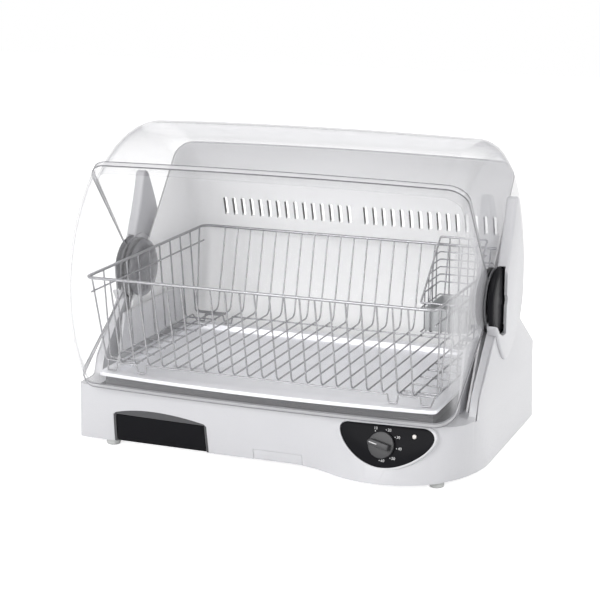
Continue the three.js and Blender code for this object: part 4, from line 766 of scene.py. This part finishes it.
def make_front_hood():
    line = drum_line(HOOD_HALF, HOOD_RADIUS, TAB)
    radii = [PIN_BORE, 0.016, 0.023, TAB]
    skin = drum_strip("front_hood_skin", line, HOOD_LOW, HOOD_TOP, 72)
    hubs = hub_strips(HOOD_HALF, radii, HOOD_LOW, HOOD_TOP, 72)
    hubs += hub_strips(HOOD_HALF, radii, HOOD_TOP, HOOD_LOW + 360, 60)
    hood = join("front_hood_clear", skin, *hubs)
    merge_skin(hood)
    sheet_wall(hood, CLEAR_WALL)
    soften(hood, 0.0005, 2, 50)
    smooth(hood, 40)
    wear(hood, clear_hood, "hood", "clear_plastic", "front_hood")
    top, low = HOOD_TOP - LIP_ANGLE, HOOD_LOW + LIP_ANGLE
    # The inner and outer lines are thin dark bands on the lip edges: painted edge reflection.
    for name, rise, start, end, material in (
            ("top_lip", LIP, top, HOOD_TOP, clear_lip),
            ("top_inner_line", LIP + EDGE_LINE, top, top + 0.3, clear_edge_painted_dark),
            ("top_outer_line", LIP + EDGE_LINE, HOOD_TOP - 0.14, HOOD_TOP, clear_edge_painted_dark),
            ("low_lip", LIP, HOOD_LOW, low, clear_lip),
            ("low_inner_line", LIP + EDGE_LINE, low - 0.2, low, clear_edge_painted_dark),
            ("low_outer_line", LIP + EDGE_LINE, HOOD_LOW, HOOD_LOW + 0.2, clear_edge_painted_dark)):
        drum_band(f"front_hood_{name}", HOOD_HALF, HOOD_RADIUS, rise, start, end, material, "hood")


def drum_band(name, half, radius, rise, start, end, material, body):
    """A narrow raised band over the drum's crown and down its sides to the hinge."""
    line = drum_line(half + rise / 2, radius + rise, BAND_HUB)
    band = drum_strip(name, line, start, end, 3)
    face_from_hub(band)
    sheet_wall(band, rise)
    smooth(band, 40)
    wear(band, material, body, "clear_plastic")


def make_rear_hood():
    line = drum_line(REAR_HALF, REAR_RADIUS, SEAM_HUB + SEAT_GAP)
    hood = drum_strip("rear_hood_clear", line, HOOD_TOP - OVERLAP, SEAM_ANGLE - 0.1, 72)
    face_from_hub(hood)
    sheet_wall(hood, CLEAR_WALL)
    soften(hood, 0.0005, 2, 50)
    smooth(hood, 40)
    wear(hood, clear_rear, "dryer", "clear_plastic", "rear_hood")
    # The seam line is a thin dark band on the rear hood's edge: painted edge reflection.
    drum_band("rear_hood_seam", REAR_HALF, REAR_RADIUS, EDGE_LINE, SEAM_ANGLE - 0.25, SEAM_ANGLE - 0.05,
              clear_edge_painted_dark, "dryer")


def make_back_housing():
    radii = [PIN_FIT, 0.020, 0.033, SEAM_HUB]
    skin = drum_strip("back_skin", drum_line(REAR_HALF, REAR_RADIUS, SEAM_HUB), SEAM_ANGLE, BACK_END, 96)
    back = join("back_housing_shell", skin, *hub_strips(REAR_HALF, radii, SEAM_ANGLE, BACK_END, 96))
    merge_skin(back)
    sheet_wall(back, WALL)
    carve(back, block("under", (-REACH, -REACH, 0), (REACH, REACH, DECK + SEAT_GAP)))
    slots = []
    for x in VENTS:
        corners = [Vector((x + dx, 0.10, VENT_HEIGHT + dz)) for dx, dz in (
            (-0.0021, -0.0125), (0.0021, -0.0125), (0.0021, 0.0125), (-0.0021, 0.0125))]
        slots.append(prism("slot", rounded(corners, 0.0018, True, 4), (0, 0.12, 0)))
    carve(back, join("slots", *slots))
    soften(back, 0.0006, 2, 45)
    smooth(back, 40)
    wear(back, white_back_painted_light, "dryer", "white_plastic", "back_housing")
    hub = join("back_housing_hub", *hub_strips(REAR_HALF, radii, BACK_END, SEAM_ANGLE + 360, 84))
    merge_skin(hub)
    sheet_wall(hub, WALL)
    smooth(hub, 40)
    wear(hub, clear_hood, "dryer", "clear_plastic")
    # Thin smoke-grey plates set in the wall at the left side face of each vent slot: painted shade on the slots'
    # sides.
    slot_shades = []
    for vent in VENTS:
        x = vent - 0.0029
        skin = REAR_RADIUS + CROWN * (1 - (x / (REAR_HALF - CORNER)) ** 2)
        corners = [on_drum(x, skin + rise, angle) for rise, angle in (
            (-0.0035, 160.4), (-0.0035, 168), (0.0012, 168), (0.0012, 160.4))]
        slot_shades.append(prism("slot_shade", corners, (0.0008, 0, 0)))
    slot_shades = join("vent_slot_shades", *slot_shades)
    smooth(slot_shades, 30)
    wear(slot_shades, smoke_grey, "dryer", "smoke_grey")


# Hinge pieces at both sides

def make_hinge_side(side, word):
    cap = ring_on_axis(f"hinge_cap_{word}_disc", [(side * x, r) for x, r in (
        (0.2519, 0), (0.2519, PIN_FIT), (0.2503, PIN_FIT), (0.2503, 0.042), (0.2524, 0.042), (0.2545, 0.040),
        (0.2561, 0.0372), (0.2561, 0.036), (0.2556, 0.0352), (0.2562, 0.0344), (0.2565, 0.020),
        (0.2565, 0))], 96)
    soften(cap, 0.0003, 2, 30)
    smooth(cap, 30)
    wear(cap, black_gloss, "dryer", "black_gloss", f"hinge_cap_{word}")
    steps = [(0.2315, 0), (0.2315, PIN_FIT), (0.2354, PIN_FIT), (0.2354, 0.0376), (0.2315, 0.0376),
             (0.2297, 0.0356), (0.2297, 0.0312), (0.2313, 0.0300), (0.2313, 0.0232), (0.2297, 0.0220),
             (0.2297, 0.0182), (0.2309, 0.0172), (0.2309, 0.0112), (0.2297, 0.0102), (0.2297, 0)]
    inner = ring_on_axis(f"inner_cap_{word}_rings", [(side * x, r) for x, r in steps], 96)
    ribs = []
    for i in range(18):
        angle = 20 * i
        corners = [on_drum(side * 0.2298, r, angle + a) for r, a in (
            (0.0233, -1.1), (0.0299, -0.9), (0.0299, 0.9), (0.0233, 1.1))]
        ribs.append(prism("rib", corners, (side * 0.0022, 0, 0)))
    carve(inner, join("ribs", *ribs), 'UNION')
    soften(inner, 0.0003, 2, 30)
    smooth(inner, 30)
    wear(inner, smoke_clear, "dryer", "smoke_grey", f"inner_cap_{word}")
    for place, near, far in (("inner", 0.2392, 0.2424), ("outer", 0.2456, 0.2474)):
        teeth = [on_drum(side * near, 0.0394 + 0.0006 * (i % 4 > 1), 1.5 * i) for i in range(240)]
        spacer = prism(f"hinge_spacer_{place}_{word}", teeth, (side * (far - near), 0, 0))
        carve(spacer, disc_x("bore", 0.0090, side * 0.238, side * 0.249, 32))
        smooth(spacer, 30)
        wear(spacer, dark_plastic if place == "inner" else smoke_clear, "dryer", "smoke_grey")
    make_ear(side, word)


def make_ear(side, word):
    """Ear cover: a leaf with soft edges and a round seat for its cap, narrowing to a low tip."""
    shares = [(0.45, 0.97), (0.54, 1.02, 0.62, 0.93), (0.82, 0.66, 1, 0.4, 1, 0.1),
              (1.01, -0.2, 0.92, -0.44, 0.74, -0.62), (0.56, -0.8, 0.34, -0.98, 0.14, -1),
              (-0.1, -0.98, -0.72, -0.62, -1, -0.34), (-0.24, 0.1), (0.16, 0.4, 0.34, 0.7, 0.45, 0.97)]
    points = shaped(shares, lambda y, z: at(
        side * EAR_INSIDE, y * (0.087 if y > 0 else 0.036), HINGE_Z + z * (0.124 if z > 0 else 0.077)), 14)
    ear = prism(f"ear_cover_{word}_leaf", points, (side * EAR_WIDTH, 0, 0))
    soften(ear, 0.0030, 4, 40)
    seat = disc_x("seat", CAP_SEAT, side * 0.25, side * 0.28, 96)
    near, far = sorted((side * 0.2584, side * 0.29))
    carve(seat, block("cover", (near, HINGE_Y + 0.005, 0), (far, REACH, 0.4)))
    carve(ear, seat)
    carve(ear, disc_x("bore", PIN_FIT, side * 0.24, side * 0.28, 32))
    gap = base_form("gap", -SEAT_GAP, FOOT)
    carve(gap, drum_space(-0.001))
    carve(ear, gap)
    smooth(ear, 32)
    wear(ear, white_shell_painted_shade, "dryer", "white_plastic", f"ear_cover_{word}")


# Tray, seal and baskets

def tray_plan(z, grow=0.0):
    """Plan of the tray: square at the rear, bowed forward at the front."""
    half, front, rear, corner = 0.222 + grow, 0.154 + grow, 0.129 + grow, 0.010
    shares = [(-half, rear - corner), (-half, -front + corner), (-half, -front, -half + corner, -front),
              (0, -front - 0.022, half - corner, -front), (half, -front, half, -front + corner),
              (half, rear - corner), (half, rear, half - corner, rear), (-half + corner, rear),
              (-half, rear, -half, rear - corner)]
    return shaped(shares, lambda x, y: at(x, y, z), 12)


def make_tray():
    """Drip tray of sheet steel: a bowed flange with a turned-down edge, round a shallow pan."""
    tray = prism("drip_tray_sheet", tray_plan(TRAY_TOP - SHEET), (0, 0, SHEET))
    low, high = at(-0.207, -0.139, TRAY_FLOOR - SHEET), at(0.207, 0.114, TRAY_TOP)
    carve(tray, block("pan", low, high), 'UNION')
    inside = block("pan_inside", low + Vector((SHEET, SHEET, SHEET)), high + Vector((-SHEET, -SHEET, 0.01)))
    carve(tray, inside)
    skirt = prism("skirt", tray_plan(TRAY_TOP - TRAY_SKIRT), (0, 0, TRAY_SKIRT - SHEET / 2))
    carve(skirt, prism("skirt_inside", tray_plan(TRAY_TOP - TRAY_SKIRT - SHEET, -SHEET), (0, 0, 2 * TRAY_SKIRT)))
    carve(tray, skirt, 'UNION')
    for i in range(3):
        ring = [at(-0.154 + 0.014 * i + 0.0035 * cos(k * pi / 12), -0.070 + 0.0035 * sin(k * pi / 12), 0.09)
                for k in range(24)]
        carve(tray, prism("drain", ring, (0, 0, 0.01)))
    soften(tray, 0.0004, 2, 30)
    smooth(tray, 30)
    wear(tray, tray_steel, "dryer", "tray_steel", "drip_tray")


def level(half, front, rear, z):
    return [at(-half, -front, z), at(half, -front, z), at(half, rear, z), at(-half, rear, z)]


def floor_ring():
    """The basket's bottom ring, with two feet near each corner that stand on the tray's flange."""
    high, foot = NET_HEIGHT - 2 * BAR_WIRE + 0.0002, TRAY_TOP + BAR_WIRE + SEAT_GAP
    quarter = [(NET_HALF - 0.003, 0.008, high), (0.213, 0, foot), (0.202, 0, foot), (0.200, 0, high),
               (0.173, 0, high), (0.171, 0, foot), (0.161, 0, foot), (0.159, 0, high)]
    ring = []
    for side, end, steps in ((1, -0.143, quarter), (-1, -0.143, quarter[::-1]),
                             (-1, 0.1215, quarter), (1, 0.1215, quarter[::-1])):
        inwards = -1 if end > 0 else 1
        ring += [at(side * x, end + inwards * y, z) for x, y, z in steps]
    return rounded(ring, 0.0009, True, 3)


def make_wire_basket():
    """Wire basket: a rim, hoops from front to rear, side bars, rails and a floor ring with feet."""
    rim = wires("rim", [(rounded(level(RIM_HALF, RIM_FRONT, RIM_REAR, RIM_HEIGHT), 0.012, True, 8), True)],
                RIM_WIRE, 3)
    paths = [(floor_ring(), True)]
    for i in range(HOOPS):
        x = HOOP_REACH * (2 * i / (HOOPS - 1) - 1)
        paths.append((rounded([at(x, -RIM_FRONT, RIM_HEIGHT), at(x, -NET_DEPTH, NET_HEIGHT),
                               at(x, NET_DEPTH, NET_HEIGHT), at(x, RIM_REAR, RIM_HEIGHT)], NET_BEND), False))
    low = NET_HEIGHT - 2 * BAR_WIRE + 0.0002
    tie = HOOP_REACH * (1 - 2 / (HOOPS - 1))
    slope = (RIM_HALF - NET_HALF) / (RIM_HEIGHT - low)
    for side in (-1, 1):
        for i in range(SIDE_BARS):
            y = -0.156 + 0.317 * i / (SIDE_BARS - 1)
            foot = max(0.012 - NET_DEPTH, min(NET_DEPTH - 0.012, y))
            paths.append((rounded([at(side * RIM_HALF, y, RIM_HEIGHT), at(side * NET_HALF, foot, low),
                                   at(side * tie, foot, low)], 0.005), False))
        x = side * (NET_HALF + slope * (RAIL_HEIGHT - low) - 2 * BAR_WIRE + 0.0002)
        paths.append(([at(x, -0.163, RAIL_HEIGHT), at(x, 0.168, RAIL_HEIGHT)], False))
    basket = join("wire_basket_wires", wires("bars", paths, BAR_WIRE), rim)
    wear(basket, wire_steel, "dryer", "basket_wire", "wire_basket")


def make_cutlery_basket():
    """Cutlery basket: low at the front and high at the rear, of thin wires, hooked over the rim."""
    x0, x1, y0, y1 = CUTLERY
    low, high, floor = CUTLERY_LOW, CUTLERY_HIGH, CUTLERY_FLOOR
    bend = 0.0027

    def rim_y(z):
        return y0 + (y1 - y0) * (z - low) / (high - low)

    def loop(z, rear_z):
        return (rounded([at(x0, y0, z), at(x1, y0, z), at(x1, y1, rear_z), at(x0, y1, rear_z)], bend, True), True)
    rim = wires("rim", [loop(low, high)], 0.0013)
    paths = [loop(floor, floor), loop(LINER_TOP, LINER_TOP)]
    for i in range(1, 7):
        z = low + (high - low) * i / 7
        paths.append((rounded([at(x0, rim_y(z), z), at(x0, y1, z), at(x1, y1, z), at(x1, rim_y(z), z)], bend),
                      False))
    for i in range(1, 5):
        x = x0 + (x1 - x0) * i / 5
        paths.append((rounded([at(x, y0, low), at(x, y0, floor), at(x, y1, floor), at(x, y1, high)], bend), False))
        y, z = y0 + (y1 - y0) * i / 5, low + (high - low) * i / 5
        paths += [([at(side, y, z), at(side, y, floor)], False) for side in (x0, x1)]
        if i > 2:
            over = RIM_HEIGHT + RIM_WIRE + CUTLERY_WIRE + SEAT_GAP
            outside = RIM_HALF + RIM_WIRE + CUTLERY_WIRE + SEAT_GAP
            paths.append((rounded([at(x1, y, over), at(outside, y, over), at(outside, y, 0.220)], bend), False))
    basket = join("cutlery_basket_wires", wires("bars", paths, CUTLERY_WIRE), rim)
    wear(basket, wire_steel, "dryer", "basket_wire", "cutlery_basket")


def make_liner():
    """Open cup of the cutlery basket, with rounded corners and a thin wall."""
    low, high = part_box("cutlery_liner")
    corners = [Vector((x, y, low.z)) for x, y in (
        (low.x, low.y), (high.x, low.y), (high.x, high.y), (low.x, high.y))]
    liner = prism("cutlery_liner_cup", rounded(corners, 0.006, True), (0, 0, high.z - low.z))
    bpy.ops.object.mode_set(mode='EDIT')
    bpy.ops.mesh.select_mode(type='FACE')
    bpy.ops.mesh.select_all(action='DESELECT')
    mesh = bmesh.from_edit_mesh(liner.data)
    for face in mesh.faces:
        face.select = face.normal.z > 0.9
    bmesh.update_edit_mesh(liner.data)
    bpy.ops.mesh.inset(thickness=0.0014)
    bpy.ops.mesh.extrude_region_move(TRANSFORM_OT_translate={"value": (0, 0, low.z + 0.0015 - high.z)})
    bpy.ops.mesh.select_mode(type='VERT')
    bpy.ops.object.mode_set(mode='OBJECT')
    soften(liner, 0.0004, 2, 50)
    smooth(liner, 40)
    wear(liner, grey_plastic, "dryer", "grey_plastic", "cutlery_liner")


# Front of the base

def make_tank_front():
    front = base_block("tank_front_plate", RUN_GAP, TANK_SILL, TANK_TOP)
    left, right = BAY[0] + BAY_FRAME + RUN_GAP, BAY[1] - BAY_FRAME - RUN_GAP
    carve(front, block("part", (left, -0.3, 0), (right, HINGE_Y - TANK_NOSE, 0.1)), 'INTERSECT')
    soften(front, 0.0008, 3, 40)
    carve(front, block("grip", (-0.165, -0.3, 0), (-0.118, HINGE_Y - TANK_NOSE - 0.003, TANK_SILL + 0.004)))
    smooth(front, 35)
    wear(front, black_gloss, "tank", "black_gloss", "tank_front")


def make_bay_frame():
    rim = base_block("bay_frame_rim", SEAT_GAP, FOOT + SEAT_GAP, 0.06)
    carve(rim, prism("bay", bay_outline(0, -0.3), (0, 0.3 - TANK_NOSE, 0)), 'INTERSECT')
    left, right = BAY[0] + BAY_FRAME, BAY[1] - BAY_FRAME
    carve(rim, block("opening", (left, -0.4, -0.1), (right, 0, TANK_TOP + RUN_GAP)))
    soften(rim, 0.0005, 2, 40)
    smooth(rim, 35)
    wear(rim, smoke_grey, "dryer", "smoke_grey", "bay_frame")


def make_port_cover():
    cover = base_block("port_cover_plate", 0, FOOT + SEAT_GAP, PORT_TOP)
    carve(cover, block("part", (PORT[0], -0.3, 0), (PORT[1], HINGE_Y - BASE_FRONT + WALL, 0.1)), 'INTERSECT')
    soften(cover, 0.0007, 2, 40)
    smooth(cover, 35)
    wear(cover, white_shell_painted_shade, "dryer", "white_plastic", "port_cover")


def round_outline(spot, radius, low, steps=48):
    return [spot + Vector((radius * cos(2 * pi * i / steps), radius * sin(2 * pi * i / steps), low))
            for i in range(steps)]


def make_panel():
    """Glossy half-moon plate with the dial's printed dots and numbers."""
    plate = panel_slab("control_panel_plate", 0, -PANEL_PLATE + SEAT_GAP, 0)
    soften(plate, 0.0006, 3, 40)
    carve(plate, on_panel(prism("hole", round_outline(KNOB, 0.0038, -0.01), (0, 0, 0.02))))
    carve(plate, on_panel(prism("hole", round_outline(LENS, 0.0029, -0.01), (0, 0, 0.02))))
    smooth(plate, 35)
    wear(plate, black_gloss, "dryer", "black_gloss", "control_panel")
    marks = []
    for angle, word in ((-33, "10"), (10, "20"), (54, "30"), (97, "40"), (141, "50"), (184, "60")):
        turn = radians(angle)
        spot = KNOB + Vector((sin(turn), cos(turn), 0)) * 0.0186
        marks.append(on_panel(prism("dot", round_outline(spot, 0.0006, 0.00002, 16), (0, 0, 0.0001))))
        marks.append(dial_number(word, spot + Vector((0, 0.0034, 0) if word == "10" else (0.0040, 0, 0))))
    print_layer = join("dial_marks", *marks)
    wear(print_layer, dial_print, "dryer", "black_gloss")


def dial_number(word, spot):
    """A printed number on the panel."""
    bpy.ops.object.select_all(action='DESELECT')
    bpy.ops.object.text_add()
    text = bpy.context.object
    text.data.body = word
    text.data.size = 0.0046
    text.data.align_x = 'CENTER'
    text.data.align_y = 'CENTER'
    text.data.extrude = 0.00006
    bpy.ops.object.convert(target='MESH')
    text = bpy.context.object
    text.data.transform(Matrix.Translation(spot + Vector((0, 0, 0.00008))))
    return on_panel(text)


def make_knob():
    """Timer knob: a skirt with a fine edge, and a grip bar with a pointed nose."""
    turn = Matrix.Translation(KNOB) @ Matrix.Rotation(radians(KNOB_REST), 4, 'Z')
    points = [Vector((0.016 * cos(i * pi / 48), 0.016 * sin(i * pi / 48), SEAT_GAP)) for i in range(96)]
    skirt = prism("timer_knob_grip", points, (0, 0, 0.005))
    soften(skirt, 0.0009, 3, 40)
    half, end, nose = 0.0040, 0.0125, 0.0150
    corners = [Vector((x, y, 0.003)) for x, y in ((-half, -end), (half, -end), (half, end), (0, nose), (-half, end))]
    grip = prism("grip", corners, (0, 0, 0.013))
    soften(grip, 0.0011, 3, 30)
    carve(skirt, grip, 'UNION')
    carve(skirt, prism("bore", round_outline(Vector((0, 0, 0)), 0.0033, -0.01, 24), (0, 0, 0.018)))
    skirt.data.transform(panel_place @ turn)
    smooth(skirt, 35)
    wear(skirt, dark_plastic, "knob", "dark_plastic", "timer_knob")
    line = [Vector((x, y, 0.0161)) for x, y in ((-0.0005, 0.002), (0.0005, 0.002), (0.0005, 0.012), (-0.0005, 0.012))]
    mark = prism("timer_knob_line", line, (0, 0, 0.0001))
    mark.data.transform(panel_place @ turn)
    wear(mark, dial_print, "knob", "dark_plastic")


def make_lens():
    lens = on_panel(prism("pilot_lens_dome", round_outline(LENS, 0.0026, -0.012, 32), (0, 0, 0.0128)))
    soften(lens, 0.0006, 3, 40)
    smooth(lens, 40)
    wear(lens, lens_clear, "dryer", "lens", "pilot_lens")


def make_feet():
    for word, x, y in (("front_left", -0.217, -0.126), ("front_right", 0.217, -0.126),
                       ("rear_left", -0.217, 0.160), ("rear_right", 0.217, 0.160)):
        line = [(0, 0.0087), (0.0095, 0.0087), (0.0095, 0.0060), (0.0090, 0.0055), (0.0090, 0.0045),
                (0.0093, 0.0040), (0.0086, 0.0006), (0.0080, 0), (0.0046, 0), (0.0040, 0.0008), (0, 0.0008)]
        foot = post(f"foot_{word}_pad", line, x, y)
        smooth(foot, 35)
        wear(foot, foot_rubber, "dryer", "foot_rubber", f"foot_{word}")


def dress_nodes():
    """Better materials on the CAD nodes whose shape is kept."""
    finishes = {
        white_shell_painted_shade: ("bottom_cover", "intake_filter"),
        dark_plastic: ("drain_tank", "fan_wheel"),
        grey_plastic: ("hinge_pin_left", "hinge_pin_right", "timer_unit", "fan_scroll", "cord_gland"),
        plain_steel: ("fan_motor", "thermostat", "cover_screw_front_left", "cover_screw_front_right",
                      "cover_screw_rear_left", "cover_screw_rear_right"),
        fin_aluminium: ("heater",),
        # The tray seal is dressed near-black: painted shade under the tray's flange.
        seal_rubber: ("tray_seal",),
    }
    for finish, names in finishes.items():
        for name in names:
            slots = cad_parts[name].data.materials
            slots.clear()
            slots.append(finish)


place_camera()
make_world(0.4)
make_floor()
add_softbox((-0.5, -2.6, 1.2), (0, 0, 0.2), (2.0, 1.4), 46)
add_softbox((2.2, 0.3, 1.3), (0, 0, 0.2), (1.2, 1.2), 16)
add_softbox((0.0, -0.6, 2.4), (0, 0, 0.2), (2.0, 0.8), 8)
add_softbox((-0.8, 2.4, 1.5), (0, 0, 0.2), (1.6, 1.2), 10)

make_base()
make_back_housing()
make_rear_hood()
make_front_hood()
for hinge_side, hinge_word in ((-1, "left"), (1, "right")):
    make_hinge_side(hinge_side, hinge_word)
make_tray()
make_wire_basket()
make_cutlery_basket()
make_liner()
make_tank_front()
make_bay_frame()
make_port_cover()
make_panel()
make_knob()
make_lens()
make_feet()
dress_nodes()

bpy.context.scene.view_settings.view_transform = 'Standard'
